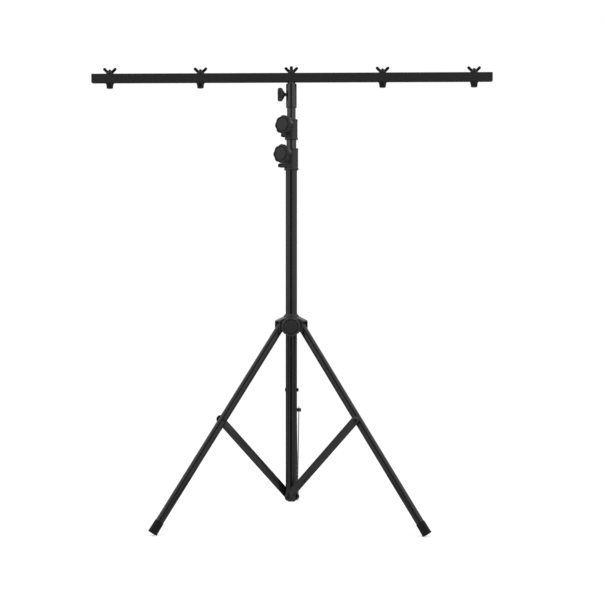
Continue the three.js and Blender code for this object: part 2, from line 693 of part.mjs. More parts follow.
// A hood over each leg's end: two walls and a sloping roof, open at its outer end and below
const hoodInner = legRadius + SLIDE_GAP;
const hoodOuter = hoodInner + HOOD_WALL;
const hoodRoot = hubBodyRadius * HOOD_ROOT_SHARE;
const roofSlope = Math.atan2(HOOD_ROOT_RISE - HOOD_END_RISE, HOOD_REACH - hoodRoot);
const cornerTurn = Math.PI / 2 - roofSlope;
const cornerReach = HOOD_REACH - HOOD_ROUNDING;
const cornerRise = HOOD_END_RISE - HOOD_ROUNDING * Math.tan(cornerTurn / 2);
const hoodOutline = [
  [hoodRoot, -HOOD_DROP],
  [HOOD_REACH, -HOOD_DROP],
  ...arc(cornerReach, cornerRise, HOOD_ROUNDING, 0, cornerTurn, CORNER_STEPS),
  [hoodRoot, HOOD_ROOT_RISE],
];
const roofDrop = HOOD_ROOF / Math.cos(roofSlope);
function roofInside(reach) {
  return HOOD_ROOT_RISE - (reach - hoodRoot) * Math.tan(roofSlope) - roofDrop;
}
const channelEnd = HOOD_REACH + OVERRUN;
const channelOutline = [
  [hubBodyRadius, -HOOD_DROP - OVERRUN],
  [channelEnd, -HOOD_DROP - OVERRUN],
  [channelEnd, roofInside(channelEnd)],
  [hubBodyRadius, roofInside(hubBodyRadius)],
];
function hoodPlate(outline, halfWidth, azimuth) {
  const flat = plate(outline, 2 * halfWidth).translate(0, 0, -halfWidth);
  return flat.rotateX(Math.PI / 2).translate(0, 0, hubHeight).rotateZ(azimuth);
}
const hoods = LEGS.map(({ azimuth }) => hoodPlate(hoodOutline, hoodOuter, azimuth));
const channels = LEGS.map(({ azimuth }) => hoodPlate(channelOutline, hoodInner, azimuth));
const rivetHoles = LEGS.map(({ azimuth }) => {
  const hole = alongY(rod(pivotRadius + FIT_GAP, -hoodOuter - OVERRUN, hoodOuter + OVERRUN));
  return hole.translate(HUB_PIVOT_REACH, 0, hubHeight).rotateZ(azimuth);
});
const hubKnobAzimuth = -Math.PI / 2;
const hubBoss = rod(HUB_BOSS_DIAMETER / 2, hubBore, HUB_BOSS_REACH, BOSS_SIDES);
const hub = without(
  joined(hubBlank, ...hoods, radial(hubBoss, hubKnobAzimuth, hubHeight)),
  ...channels,
  ...rivetHoles,
  rod(hubBore, hubBase - OVERRUN, hubTop + OVERRUN, TUBE_SIDES),
  rod(bushSeat, hubBase - OVERRUN, bushTop + FIT_GAP, TUBE_SIDES),
  radial(rod(studHoleRadius, 0, HUB_BOSS_REACH + OVERRUN), hubKnobAzimuth, hubHeight),
);
piece(stand, 'hub', hub, castBlack);

const hubBush = without(
  solid(tube(hubBore, bushSeat - FIT_GAP, hubBase, bushTop, BUSH_SIDES)),
  radial(rod(studHoleRadius, 0, HUB_BODY_DIAMETER), hubKnobAzimuth, hubHeight),
);
piece(stand, 'hub_bush', hubBush, bushPlastic);
knobAndStud('hub', HUB_KNOB_DIAMETER, hubKnobAzimuth, hubHeight, HUB_BOSS_REACH, lowerRadius);

// A pivot bolt along +Y: a round head, and a shank to the far end
function pivotBolt(headSeat, tip) {
  return alongY(turned([
    [0, tip],
    [pivotRadius, tip],
    [pivotRadius, headSeat],
    [PIVOT_HEAD_DIAMETER / 2, headSeat],
    [PIVOT_HEAD_DIAMETER / 2, headSeat + PIVOT_HEAD_HEIGHT / 2],
    [PIVOT_HEAD_DIAMETER / 2 * Math.SQRT1_2, headSeat + PIVOT_HEAD_HEIGHT],
    [0, headSeat + PIVOT_HEAD_HEIGHT],
  ], BOLT_SIDES));
}

// A rivet along Y with the same round head at both ends
function pivotRivet(seat) {
  return joined(pivotBolt(seat, -seat), pivotBolt(seat, -seat).rotateX(Math.PI));
}

// Leg from its pivot at zero down -Z: a tube, and a plug whose round head takes the rivet
function legTube() {
  const blank = tube(legRadius - LEG_WALL, legRadius, -legLength + FOOT_SOLE + FIT_GAP, -LEG_TUBE_DROP);
  const hole = alongY(rod(pivotRadius + FIT_GAP, -LEG_DIAMETER, LEG_DIAMETER));
  return without(solid(blank), hole.translate(0, 0, -LEG_LINK));
}

function legPlug() {
  const shoulder = -LEG_TUBE_DROP + FIT_GAP;
  const outline = [[-legRadius, shoulder], [legRadius, shoulder], ...arc(0, 0, legRadius, 0, Math.PI)];
  const blank = plate(outline, LEG_DIAMETER, [circle(0, 0, pivotRadius + FIT_GAP)]).rotateX(Math.PI / 2);
  const round = rod(legRadius, shoulder - OVERRUN, LEG_DIAMETER, TUBE_SIDES);
  const head = solid(blank.translate(0, legRadius, 0)).intersect(solid(round));
  const plugRadius = legRadius - LEG_WALL - FIT_GAP;
  const spigot = rod(plugRadius, shoulder - LEG_PLUG_LENGTH, shoulder + FIT_GAP, BUSH_SIDES);
  return head.add(solid(spigot));
}

// Rubber foot: a cup on the leg's end, wider at its sole, worn flat where it stands
function rubberFoot() {
  const top = -legLength + FOOT_LENGTH;
  const seat = legRadius + FIT_GAP;
  const cup = turned([
    [0, -legLength],
    [FOOT_DIAMETER / 2, -legLength],
    [FOOT_TOP_DIAMETER / 2, top],
    [seat, top],
    [seat, -legLength + FOOT_SOLE],
    [0, -legLength + FOOT_SOLE],
  ]);
  const floor = new THREE.BoxGeometry(legLength, FOOT_LENGTH, FOOT_LENGTH);
  floor.translate(legLength / 2, 0, -hubHeight - FOOT_LENGTH / 2).rotateY(legAngle);
  return without(solid(cup), floor);
}

// Bolt in the middle of the leg, with the spacer that holds the brace clear of the mast when folded
function midBolt() {
  const headSeat = legRadius + FIT_GAP;
  const bolt = pivotBolt(headSeat, -braceInner + FIT_GAP);
  const spacer = alongY(rod(SPACER_DIAMETER / 2, -braceInner + FIT_GAP, -legRadius - FIT_GAP));
  return geometryOf(joined(bolt, spacer)).translate(0, 0, -LEG_LINK);
}

// Brace from its pivot at zero up +Z: a flat bar with round ends
function brace() {
  const half = BRACE_WIDTH / 2;
  const outline = [...arc(0, 0, half, Math.PI, 2 * Math.PI), ...arc(0, BRACE_LINK, half, 0, Math.PI)];
  const holes = [0, BRACE_LINK].map((height) => circle(0, height, pivotRadius + FIT_GAP));
  return plate(outline, BRACE_THICKNESS, holes).rotateX(Math.PI / 2).translate(0, -braceInner, 0);
}

// Nut on the outside of the brace's upper end, with the bolt's end through the brace
function braceNut() {
  const seat = braceOuter + FIT_GAP;
  const end = rod(pivotRadius, -seat - PIVOT_NUT_HEIGHT - FIT_GAP, -braceInner, BOLT_SIDES);
  const nut = rod(PIVOT_NUT_DIAMETER / 2, -seat - PIVOT_NUT_HEIGHT, -seat, HEX_SIDES);
  return alongY(geometryOf(joined(end, nut))).translate(0, 0, BRACE_LINK);
}

const rivetSeat = hoodOuter + FIT_GAP;
for (const { side, azimuth } of LEGS) {
  const plane = new THREE.Group();
  plane.rotation.z = azimuth;
  stand.add(plane);
  const rivet = piece(plane, `hub_pivot_rivet_${side}`, pivotRivet(rivetSeat), darkFastener);
  rivet.position.set(HUB_PIVOT_REACH, 0, hubHeight);

  const leg = new THREE.Group();
  leg.position.copy(rivet.position);
  leg.rotation.y = -legAngle;
  plane.add(leg);
  piece(leg, `leg_tube_${side}`, legTube(), paintedSteel);
  piece(leg, `leg_plug_${side}`, legPlug(), castBlack);
  piece(leg, `leg_bolt_${side}`, midBolt(), darkFastener);
  piece(leg, `foot_${side}`, rubberFoot(), footRubber);

  const braceGroup = new THREE.Group();
  braceGroup.position.z = BRACKET_PIVOT_HEIGHT;
  braceGroup.rotation.y = braceAngle;
  plane.add(braceGroup);
  piece(braceGroup, `brace_${side}`, brace(), paintedSteel);
  piece(braceGroup, `brace_nut_${side}`, braceNut(), darkFastener);

  const screw = pivotBolt(braceOuter + FIT_GAP, screwTip).rotateZ(Math.PI);
  const bracketScrew = piece(plane, `bracket_screw_${side}`, screw, darkFastener);
  bracketScrew.position.z = BRACKET_PIVOT_HEIGHT;
}

// The origin is the middle of the stand's footprint, on the floor
const box = new THREE.Box3().setFromObject(stand, true);
const centre = box.getCenter(new THREE.Vector3());
stand.position.set(-centre.x, -centre.y, -box.min.z);

const group = new THREE.Group();
group.add(stand);
export default group;
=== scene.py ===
"""The looks of the lighting stand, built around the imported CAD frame. Metres, +Z up."""

import json
import math

import bmesh
import bpy
from mathutils import Matrix, Vector


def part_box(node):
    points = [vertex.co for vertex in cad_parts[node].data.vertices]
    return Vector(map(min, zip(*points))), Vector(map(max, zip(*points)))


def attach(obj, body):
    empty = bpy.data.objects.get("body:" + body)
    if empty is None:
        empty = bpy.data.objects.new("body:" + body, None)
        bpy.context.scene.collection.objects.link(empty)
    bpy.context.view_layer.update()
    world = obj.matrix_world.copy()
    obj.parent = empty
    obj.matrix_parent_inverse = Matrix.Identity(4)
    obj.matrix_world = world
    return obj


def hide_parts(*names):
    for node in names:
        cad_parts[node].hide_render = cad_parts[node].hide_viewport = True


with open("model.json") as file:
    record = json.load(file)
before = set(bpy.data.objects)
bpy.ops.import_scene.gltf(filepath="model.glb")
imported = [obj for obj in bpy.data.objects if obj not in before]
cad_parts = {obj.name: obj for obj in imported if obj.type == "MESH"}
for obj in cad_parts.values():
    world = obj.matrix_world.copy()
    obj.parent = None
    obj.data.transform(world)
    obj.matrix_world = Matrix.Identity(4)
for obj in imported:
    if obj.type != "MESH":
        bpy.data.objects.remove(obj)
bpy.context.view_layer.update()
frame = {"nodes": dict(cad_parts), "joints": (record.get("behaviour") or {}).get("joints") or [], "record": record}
joints = {joint["name"]: joint for joint in frame["joints"]}

# Places that the frame gives
MAST_LOW, MAST_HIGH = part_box("lower_mast")
AXIS_X = (MAST_LOW.x + MAST_HIGH.x) / 2
AXIS_Y = (MAST_LOW.y + MAST_HIGH.y) / 2
MAST = Matrix.Translation((AXIS_X, AXIS_Y, 0))
HUB_HEIGHT = joints["leg_back_fold"]["pos_m"][2]
BRACKET_HEIGHT = joints["brace_back_fold"]["pos_m"][2]

# Sizes shared by many pieces
FIT = 0.0003
SLIDE = 0.0004
BIG_SIDES = 96
MID_SIDES = 64
SMALL_SIDES = 40
ROUND_STEPS = 5
EDGE = 0.0006
SMOOTH_ANGLE = math.radians(32)
BEVEL_ANGLE = math.radians(30)
FLAT_ANGLE = math.radians(0.1)
MERGE = 1e-7
HEX_SIDES = 6
NUT_EDGE = 0.0005
# A rounded corner takes at most a side's length over this
CORNER_DIVISOR = 2.2

# The camera, from the photograph: the mast's column and the horizon's row in its 605 pixels
IMAGE_PIXELS = 605
SENSOR = 36
FOCAL_PIXELS = 1288
MAST_COLUMN = 291.35
HORIZON_ROW = 300
CAMERA_DISTANCE = 3.86
CAMERA_HEIGHT = 0.667
CAMERA_AZIMUTH = math.radians(1.4)


def add_camera():
    """A level camera, shifted to put the mast and the horizon where the photograph has them."""
    data = bpy.data.cameras.new("camera")
    camera = bpy.data.objects.new("camera", data)
    bpy.context.scene.collection.objects.link(camera)
    data.sensor_width = SENSOR
    data.lens = FOCAL_PIXELS / IMAGE_PIXELS * SENSOR
    back = Vector((math.sin(CAMERA_AZIMUTH), -math.cos(CAMERA_AZIMUTH), 0))
    camera.location = Vector((AXIS_X, AXIS_Y, CAMERA_HEIGHT)) + back * CAMERA_DISTANCE
    data.shift_x = (IMAGE_PIXELS / 2 - MAST_COLUMN) / IMAGE_PIXELS
    data.shift_y = (HORIZON_ROW - IMAGE_PIXELS / 2) / IMAGE_PIXELS
    camera.rotation_euler = (math.pi / 2, 0, CAMERA_AZIMUTH)
    bpy.context.scene.camera = camera
    bpy.context.scene.view_settings.view_transform = "Standard"


add_camera()


# Outlines, meshes and placing. A mesh is a bmesh in its piece's own frame until it is moved

def arc(x, y, radius, start, end, steps=ROUND_STEPS):
    """Points on an arc, both ends included."""
    turns = [start + (end - start) * i / steps for i in range(steps + 1)]
    return [(x + radius * math.cos(turn), y + radius * math.sin(turn)) for turn in turns]


def softened(points, radius, closed=False, steps=ROUND_STEPS):
    """The outline with its corners rounded. An open outline keeps its two ends."""
    result = []
    for i, point in enumerate(points):
        if not closed and i in (0, len(points) - 1):
            result.append(point)
            continue
        corner = Vector(point)
        before = Vector(points[i - 1]) - corner
        after = Vector(points[(i + 1) % len(points)]) - corner
        reach = min(radius, before.length / CORNER_DIVISOR, after.length / CORNER_DIVISOR)
        start = before.normalized() * reach
        end = after.normalized() * reach
        for k in range(steps + 1):
            t = k / steps
            result.append(tuple(corner + start * (1 - t) ** 2 + end * t ** 2))
    return result


def lathe(points, sides=MID_SIDES, closed=False):
    """A turned solid about Z from (radius, height) points, or a turned ring if they are a closed outline."""
    mesh = bmesh.new()
    rows = []
    for radius, height in points:
        if radius < MERGE:
            rows.append([mesh.verts.new((0, 0, height))])
            continue
        turns = [2 * math.pi * i / sides for i in range(sides)]
        rows.append([mesh.verts.new((radius * math.cos(t), radius * math.sin(t), height)) for t in turns])
    pairs = list(zip(rows, rows[1:])) + ([(rows[-1], rows[0])] if closed else [])
    for low, high in pairs:
        for i in range(sides):
            j = (i + 1) % sides
            corners = [low[i % len(low)], low[j % len(low)], high[j % len(high)], high[i % len(high)]]
            face = list(dict.fromkeys(corners))
            if len(face) > 2:
                mesh.faces.new(face)
    return outward(mesh)


def rod(radius, low, high, sides=SMALL_SIDES, edge=EDGE):
    """A round bar about Z with rounded rims."""
    return lathe(softened([(0, low), (radius, low), (radius, high), (0, high)], edge), sides)


def pipe(inner, outer, low, high, sides=BIG_SIDES, edge=EDGE):
    """A round tube about Z with rounded rims."""
    outline = [(inner, low), (outer, low), (outer, high), (inner, high)]
    return lathe(softened(outline, edge, closed=True), sides, closed=True)


def prism(outline, low, high):
    """A flat (x, y) outline pushed up from one height to another."""
    mesh = bmesh.new()
    bottom = [mesh.verts.new((x, y, low)) for x, y in outline]
    top = [mesh.verts.new((x, y, high)) for x, y in outline]
    mesh.faces.new(bottom[::-1])
    mesh.faces.new(top)
    for i in range(len(outline)):
        j = (i + 1) % len(outline)
        mesh.faces.new([bottom[i], bottom[j], top[j], top[i]])
    return outward(mesh)


def outward(mesh):
    bmesh.ops.recalc_face_normals(mesh, faces=mesh.faces)
    return mesh


def moved(mesh, *matrices):
    """The mesh after the matrices, the last of them first, as in a product."""
    whole = Matrix.Identity(4)
    for matrix in matrices:
        whole = whole @ matrix
    mesh.transform(whole)
    return mesh


def turn(angle, axis):
    return Matrix.Rotation(angle, 4, axis)


def shift(x=0, y=0, z=0):
    return Matrix.Translation((x, y, z))


ALONG_X = turn(math.pi / 2, "Y")
ALONG_Y = turn(-math.pi / 2, "X")


def radial(azimuth, height):
    """From a frame whose Z points outward to the mast's frame, at an azimuth and a height."""
    return shift(z=height) @ turn(azimuth, "Z") @ ALONG_X


def temporary(mesh):
    data = bpy.data.meshes.new("temporary")
    mesh.to_mesh(data)
    mesh.free()
    thing = bpy.data.objects.new("temporary", data)
    bpy.context.scene.collection.objects.link(thing)
    return thing


def combined(base, operation, *tools):
    """The base joined with the tools, or cut by them: an exact boolean for each."""
    thing = temporary(base)
    others = [temporary(tool) for tool in tools]
    for other in others:
        step = thing.modifiers.new("step", "BOOLEAN")
        step.operation = operation
        step.solver = "EXACT"
        step.object = other
    graph = bpy.context.evaluated_depsgraph_get()
    result = bmesh.new()
    result.from_object(thing, graph)
    for spent in [thing, *others]:
        data = spent.data
        bpy.data.objects.remove(spent)
        bpy.data.meshes.remove(data)
    bmesh.ops.remove_doubles(result, verts=result.verts, dist=MERGE)
    return result


def joined(base, *tools):
    return combined(base, "UNION", *tools)


def cut(base, *tools):
    return combined(base, "DIFFERENCE", *tools)


def bevelled(mesh, width=EDGE, steps=3):
    """Sharp edges rounded by a small width."""
    bmesh.ops.dissolve_limit(
        mesh, angle_limit=FLAT_ANGLE, verts=mesh.verts, edges=mesh.edges, use_dissolve_boundaries=False
    )
    sharp = [
        edge for edge in mesh.edges
        if len(edge.link_faces) == 2 and edge.calc_face_angle(0) > BEVEL_ANGLE
    ]
    bmesh.ops.bevel(
        mesh, geom=sharp, offset=width, segments=steps, affect="EDGES", profile=0.5, clamp_overlap=True
    )
    return mesh


def piece(name, mesh, body, slot, material, *nodes):
    """The mesh as a named piece that rides on a body and stands for some CAD nodes."""
    for face in mesh.faces:
        face.smooth = True
    for edge in mesh.edges:
        sharp = len(edge.link_faces) == 2 and edge.calc_face_angle(0) > SMOOTH_ANGLE
        edge.smooth = not sharp
    data = bpy.data.meshes.new(name)
    mesh.to_mesh(data)
    mesh.free()
    data.materials.append(material)
    thing = bpy.data.objects.new(name, data)
    bpy.context.scene.collection.objects.link(thing)
    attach(thing, body)
    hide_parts(*nodes)
    return thing


def threaded(radius, low, high, pitch, sides=24, steps=6, depth_share=0.55):
    """A rod with a screw thread, and chamfered ends."""
    count = max(2, round((high - low) / pitch * steps))
    depth = pitch * depth_share
    mesh = bmesh.new()
    rows = []
    for k in range(count + 1):
        height = low + (high - low) * k / count
        row = []
        for i in range(sides):
            wave = abs(2 * ((k / steps - i / sides) % 1) - 1)
            run_in = min(1, k / steps, (count - k) / steps)
            reach = radius - depth * (1 - wave) * run_in - depth * (1 - run_in)
            angle = 2 * math.pi * i / sides
            row.append(mesh.verts.new((reach * math.cos(angle), reach * math.sin(angle), height)))
        rows.append(row)
    for low_row, high_row in zip(rows, rows[1:]):
        for i in range(sides):
            j = (i + 1) % sides
            mesh.faces.new([low_row[i], low_row[j], high_row[j], high_row[i]])
    mesh.faces.new(rows[0][::-1])
    mesh.faces.new(rows[-1])
    return outward(mesh)


# Materials
PATCH_SCALE = 34
PATCH_DETAIL = 6
PATCH_ROUGHNESS = 0.6
PATCH_LOW = 0.3
PATCH_HIGH = 0.7
# Where edges turn lighter by pointiness: partly rub wear, partly a painted highlight along thin edges and rims
WEAR_AND_HIGHLIGHT_START = 0.53
WEAR_AND_HIGHLIGHT_FULL = 0.62
WEAR_AND_HIGHLIGHT_STRENGTH = 0.8
EDGE_BREAKUP_SCALE = 260
EDGE_BREAKUP_DETAIL = 4
GRAIN_DETAIL = 2
GLOSS_SPREAD = 0.12
BUMP_STRENGTH = 0.6
COOLNESS = 1.02


def socket(node, name):
    return node.inputs[name]


def finish(name, color, wear_and_highlight_color, roughness, grain, grain_depth, metallic=0.0, mottle=0.2, ior=1.5):
    """A painted or moulded surface: a fine grain, uneven colour and gloss, and edges painted lighter, partly as
    rub wear and partly as a painted highlight.
    """
    material = bpy.data.materials.new(name)
    material.use_nodes = True
    nodes = material.node_tree.nodes
    links = material.node_tree.links
    shader = nodes["Principled BSDF"]
    socket(shader, "Metallic").default_value = metallic
    socket(shader, "IOR").default_value = ior
    place = nodes.new("ShaderNodeTexCoord")

    patches = nodes.new("ShaderNodeTexNoise")
    socket(patches, "Scale").default_value = PATCH_SCALE
    socket(patches, "Detail").default_value = PATCH_DETAIL
    socket(patches, "Roughness").default_value = PATCH_ROUGHNESS
    links.new(place.outputs["Object"], socket(patches, "Vector"))
    tint = nodes.new("ShaderNodeMix")
    tint.data_type = "RGBA"
    socket(tint, "A").default_value = (*[c * (1 - mottle) for c in color], 1)
    socket(tint, "B").default_value = (*[c * (1 + mottle) for c in color], 1)
    links.new(patches.outputs["Fac"], socket(tint, "Factor"))

    # Edges lighter by pointiness, broken up by noise: partly rub wear, partly a painted highlight
    shape = nodes.new("ShaderNodeNewGeometry")
    edge_wear_and_highlight = nodes.new("ShaderNodeMapRange")
    socket(edge_wear_and_highlight, "From Min").default_value = WEAR_AND_HIGHLIGHT_START
    socket(edge_wear_and_highlight, "From Max").default_value = WEAR_AND_HIGHLIGHT_FULL
    socket(edge_wear_and_highlight, "To Min").default_value = 0
    socket(edge_wear_and_highlight, "To Max").default_value = WEAR_AND_HIGHLIGHT_STRENGTH
    links.new(shape.outputs["Pointiness"], socket(edge_wear_and_highlight, "Value"))
    edge_breakup = nodes.new("ShaderNodeTexNoise")
    socket(edge_breakup, "Scale").default_value = EDGE_BREAKUP_SCALE
    socket(edge_breakup, "Detail").default_value = EDGE_BREAKUP_DETAIL
    links.new(place.outputs["Object"], socket(edge_breakup, "Vector"))
    wear_and_highlight_mask = nodes.new("ShaderNodeMath")
    wear_and_highlight_mask.operation = "MULTIPLY"
    links.new(edge_wear_and_highlight.outputs["Result"], wear_and_highlight_mask.inputs[0])
    links.new(edge_breakup.outputs["Fac"], wear_and_highlight_mask.inputs[1])
    wear_and_highlight_mix = nodes.new("ShaderNodeMix")
    wear_and_highlight_mix.data_type = "RGBA"
    socket(wear_and_highlight_mix, "B").default_value = (*wear_and_highlight_color, 1)
    links.new(wear_and_highlight_mask.outputs["Value"], socket(wear_and_highlight_mix, "Factor"))
    links.new(tint.outputs["Result"], socket(wear_and_highlight_mix, "A"))
    links.new(wear_and_highlight_mix.outputs["Result"], socket(shader, "Base Color"))

    gloss = nodes.new("ShaderNodeMapRange")
    socket(gloss, "From Min").default_value = PATCH_LOW
    socket(gloss, "From Max").default_value = PATCH_HIGH
    socket(gloss, "To Min").default_value = roughness * (1 - GLOSS_SPREAD)
    socket(gloss, "To Max").default_value = roughness * (1 + GLOSS_SPREAD)
    links.new(patches.outputs["Fac"], socket(gloss, "Value"))
    links.new(gloss.outputs["Result"], socket(shader, "Roughness"))

    pebbles = nodes.new("ShaderNodeTexNoise")
    socket(pebbles, "Scale").default_value = grain
    socket(pebbles, "Detail").default_value = GRAIN_DETAIL
    links.new(place.outputs["Object"], socket(pebbles, "Vector"))
    bump = nodes.new("ShaderNodeBump")
    socket(bump, "Strength").default_value = BUMP_STRENGTH
    socket(bump, "Distance").default_value = grain_depth
    links.new(pebbles.outputs["Fac"], socket(bump, "Height"))
    links.new(bump.outputs["Normal"], socket(shader, "Normal"))
    return material


def grey(level):
    """A linear grey from an sRGB level out of 255, a touch cool."""
    share = level / 255
    linear = share / 12.92 if share <= 0.04045 else ((share + 0.055) / 1.055) ** 2.4
    return (linear, linear, linear * COOLNESS)


# Each finish's second colour is its lighter edge colour: partly rub wear, partly a painted highlight on edges
mast_paint = finish(
    "mast_paint", grey(14), grey(60), roughness=0.2, grain=700, grain_depth=0.000008, ior=1.5,
)
tube_paint = finish(
    "tube_paint", grey(22), grey(70), roughness=0.2, grain=700, grain_depth=0.000008, ior=1.66,
)
bar_paint = finish(
    "bar_paint", grey(34), grey(56), roughness=0.7, grain=1300, grain_depth=0.00002, ior=1.12,
)
leg_paint = finish("leg_paint", grey(20), grey(60), roughness=0.22, grain=700, grain_depth=0.000008)
brace_paint = finish("brace_paint", grey(26), grey(60), roughness=0.12, grain=700, grain_depth=0.000004)
fastener_black = finish(
    "fastener_black", grey(26), grey(80), roughness=0.34, grain=900, grain_depth=0.00002, metallic=0.4,
)
moulded_black = finish(
    "moulded_black", grey(50), grey(75), roughness=0.35, grain=700, grain_depth=0.00003, ior=1.34,
)
# The knobs' very light edge colour is mostly a painted highlight along their rims, with some rub wear
knob_black = finish(
    "knob_black", grey(48), grey(150), roughness=0.26, grain=900, grain_depth=0.000012, ior=1.29,
)
bush_black = finish("bush_black", grey(30), grey(56), roughness=0.6, grain=800, grain_depth=0.00004)
foot_black = finish(
    "foot_black", grey(15), grey(34), roughness=0.55, grain=500, grain_depth=0.0001, ior=1.3,
)

MATERIAL_OF_SLOT = {
    "painted_steel": mast_paint,
    "bar_steel": bar_paint,
    "dark_fastener": fastener_black,
    "moulded_black": moulded_black,
    "knob_plastic": knob_black,
    "bush_plastic": bush_black,
    "foot_rubber": foot_black,
}
for entry in frame["record"]["subparts"]:
    node = frame["nodes"][entry["node"]]
    node.data.materials.clear()
    node.data.materials.append(MATERIAL_OF_SLOT[entry["material_slot"]])


def radius_of(node):
    low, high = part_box(node)
    return (high.x - low.x) / 2


def heights(node):
    low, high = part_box(node)
    return low.z, high.z


# Mast tubes, socket and bracket
MAST_WALL = 0.0015
MIDDLE_WALL = 0.0012
TOP_WALL = 0.0014


def straight_tube(node, body, wall, material):
    outer = radius_of(node)
    mesh = pipe(outer - wall, outer, *heights(node))
    piece(f"{node}_skin", moved(mesh, MAST), body, "painted_steel", material, node)


straight_tube("lower_mast", "lower_mast", MAST_WALL, mast_paint)
straight_tube("middle_tube", "middle_tube", MIDDLE_WALL, tube_paint)
straight_tube("top_tube", "top_tube", TOP_WALL, tube_paint)

SOCKET_NECK_RADIUS = 0.0115
SOCKET_NECK_HEIGHT = 0.005
SOCKET_ROUNDING = 0.004
SOCKET_ROOF = 0.006
THUMB_HEIGHT = joints["thumb_screw_turn"]["pos_m"][2]
THUMB_HOLE_RADIUS = 0.0043


def add_socket():
    low, high = heights("socket")
    outer = radius_of("socket")
    bore = radius_of("top_tube") + SLIDE
    shoulder = high - SOCKET_NECK_HEIGHT
    post = radius_of("bar_post") + FIT
    body_outline = [
        (bore, low), (outer, low), (outer, shoulder), (SOCKET_NECK_RADIUS, shoulder),
        (SOCKET_NECK_RADIUS, high), (post, high), (post, shoulder - SOCKET_ROOF),
        (bore, shoulder - SOCKET_ROOF),
    ]
    rounded = []
    for i, point in enumerate(body_outline):
        radius = SOCKET_ROUNDING if i in (1, 2) else EDGE
        trio = [body_outline[i - 1], point, body_outline[(i + 1) % len(body_outline)]]
        rounded += softened(trio, radius)[1:-1]
    shell = lathe(rounded, BIG_SIDES, closed=True)
    hole = moved(rod(THUMB_HOLE_RADIUS, 0, outer * 2), radial(math.pi, THUMB_HEIGHT))
    piece("socket_sleeve", moved(cut(shell, hole), MAST), "socket", "painted_steel", tube_paint, "socket")


add_socket()

BRACKET_CHAMFER = 0.006
BRACKET_SPIGOT = 0.030
BRACKET_ROUNDING = 0.0012


def add_bracket():
    low, high = heights("brace_bracket")
    outer = radius_of("brace_bracket")
    shoulder = high - BRACKET_SPIGOT
    spigot = outer - MAST_WALL - FIT
    outline = [
        (0, low), (outer - BRACKET_CHAMFER, low), (outer, low + BRACKET_CHAMFER), (outer, shoulder),
        (spigot, shoulder), (spigot, high), (0, high),
    ]
    mesh = lathe(softened(outline, BRACKET_ROUNDING), BIG_SIDES)
    piece("bracket_body", moved(mesh, MAST), "lower_mast", "moulded_black", moulded_black, "brace_bracket")


add_bracket()


# Crossbar with its caps
BAR_WALL = 0.0018
BAR_CORNER = 0.0022
CAP_THICKNESS = 0.003
CAP_EDGE = 0.0009
BOLT_HOLE_RADIUS = 0.0044
POST_HOLE_RADIUS = radius_of("bar_post") + SLIDE
BAR_LOW, BAR_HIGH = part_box("t_bar")
BAR_SIDE = BAR_HIGH.z - BAR_LOW.z
BAR_CENTRE_HEIGHT = (BAR_LOW.z + BAR_HIGH.z) / 2
BOLT_NUMBERS = (1, 2, 3, 4)


def rounded_square(side, radius):
    half = side / 2 - radius
    corners = [(half, half), (-half, half), (-half, -half), (half, -half)]
    outline = []
    for i, (x, y) in enumerate(corners):
        outline += arc(x, y, radius, i * math.pi / 2, (i + 1) * math.pi / 2)
    return outline


def bolt_column(number):
    low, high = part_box(f"fixture_bolt_{number}")
    return (low.x + high.x) / 2


def add_bar():
    outer = rounded_square(BAR_SIDE, BAR_CORNER)
    inner = rounded_square(BAR_SIDE - 2 * BAR_WALL, BAR_CORNER / 2)
    length = BAR_HIGH.x - BAR_LOW.x
    mesh = bmesh.new()
    loops = []
    for outline in (outer, inner):
        loops.append([[mesh.verts.new((x, y, end)) for x, y in outline] for end in (-length / 2, length / 2)])
    count = len(outer)
    for i in range(count):
        j = (i + 1) % count
        (outer_low, outer_high), (inner_low, inner_high) = loops
        mesh.faces.new([outer_low[i], outer_low[j], outer_high[j], outer_high[i]])
        mesh.faces.new([inner_low[j], inner_low[i], inner_high[i], inner_high[j]])
        mesh.faces.new([outer_low[j], outer_low[i], inner_low[i], inner_low[j]])
        mesh.faces.new([outer_high[i], outer_high[j], inner_high[j], inner_high[i]])
    moved(outward(mesh), shift(AXIS_X, AXIS_Y, BAR_CENTRE_HEIGHT), ALONG_X)
    places = [(AXIS_X, POST_HOLE_RADIUS)]
    places += [(bolt_column(number), BOLT_HOLE_RADIUS) for number in BOLT_NUMBERS]
    drills = [
        moved(rod(radius, BAR_LOW.z - EDGE, BAR_HIGH.z + EDGE, edge=0), shift(x, AXIS_Y))
        for x, radius in places
    ]
    piece("crossbar", cut(mesh, *drills), "t_bar", "bar_steel", bar_paint, "t_bar")


def add_cap(side, facing):
    low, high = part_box(f"end_cap_{side}")
    start = BAR_HIGH.x - AXIS_X + FIT
    plate = prism(rounded_square(BAR_SIDE, BAR_CORNER), start, start + CAP_THICKNESS)
    plate = bevelled(plate, CAP_EDGE)
    spigot_side = BAR_SIDE - 2 * BAR_WALL - 2 * FIT
    depth = (high.x - low.x) - CAP_THICKNESS
    spigot = prism(rounded_square(spigot_side, BAR_CORNER / 2), start - depth, start + CAP_THICKNESS / 2)
    mesh = moved(joined(plate, spigot), shift(AXIS_X, AXIS_Y, BAR_CENTRE_HEIGHT), turn(facing, "Z"), ALONG_X)
    piece(f"cap_{side}", mesh, "t_bar", "bush_plastic", bush_black, f"end_cap_{side}")


add_bar()
add_cap("right", 0)
add_cap("left", math.pi)


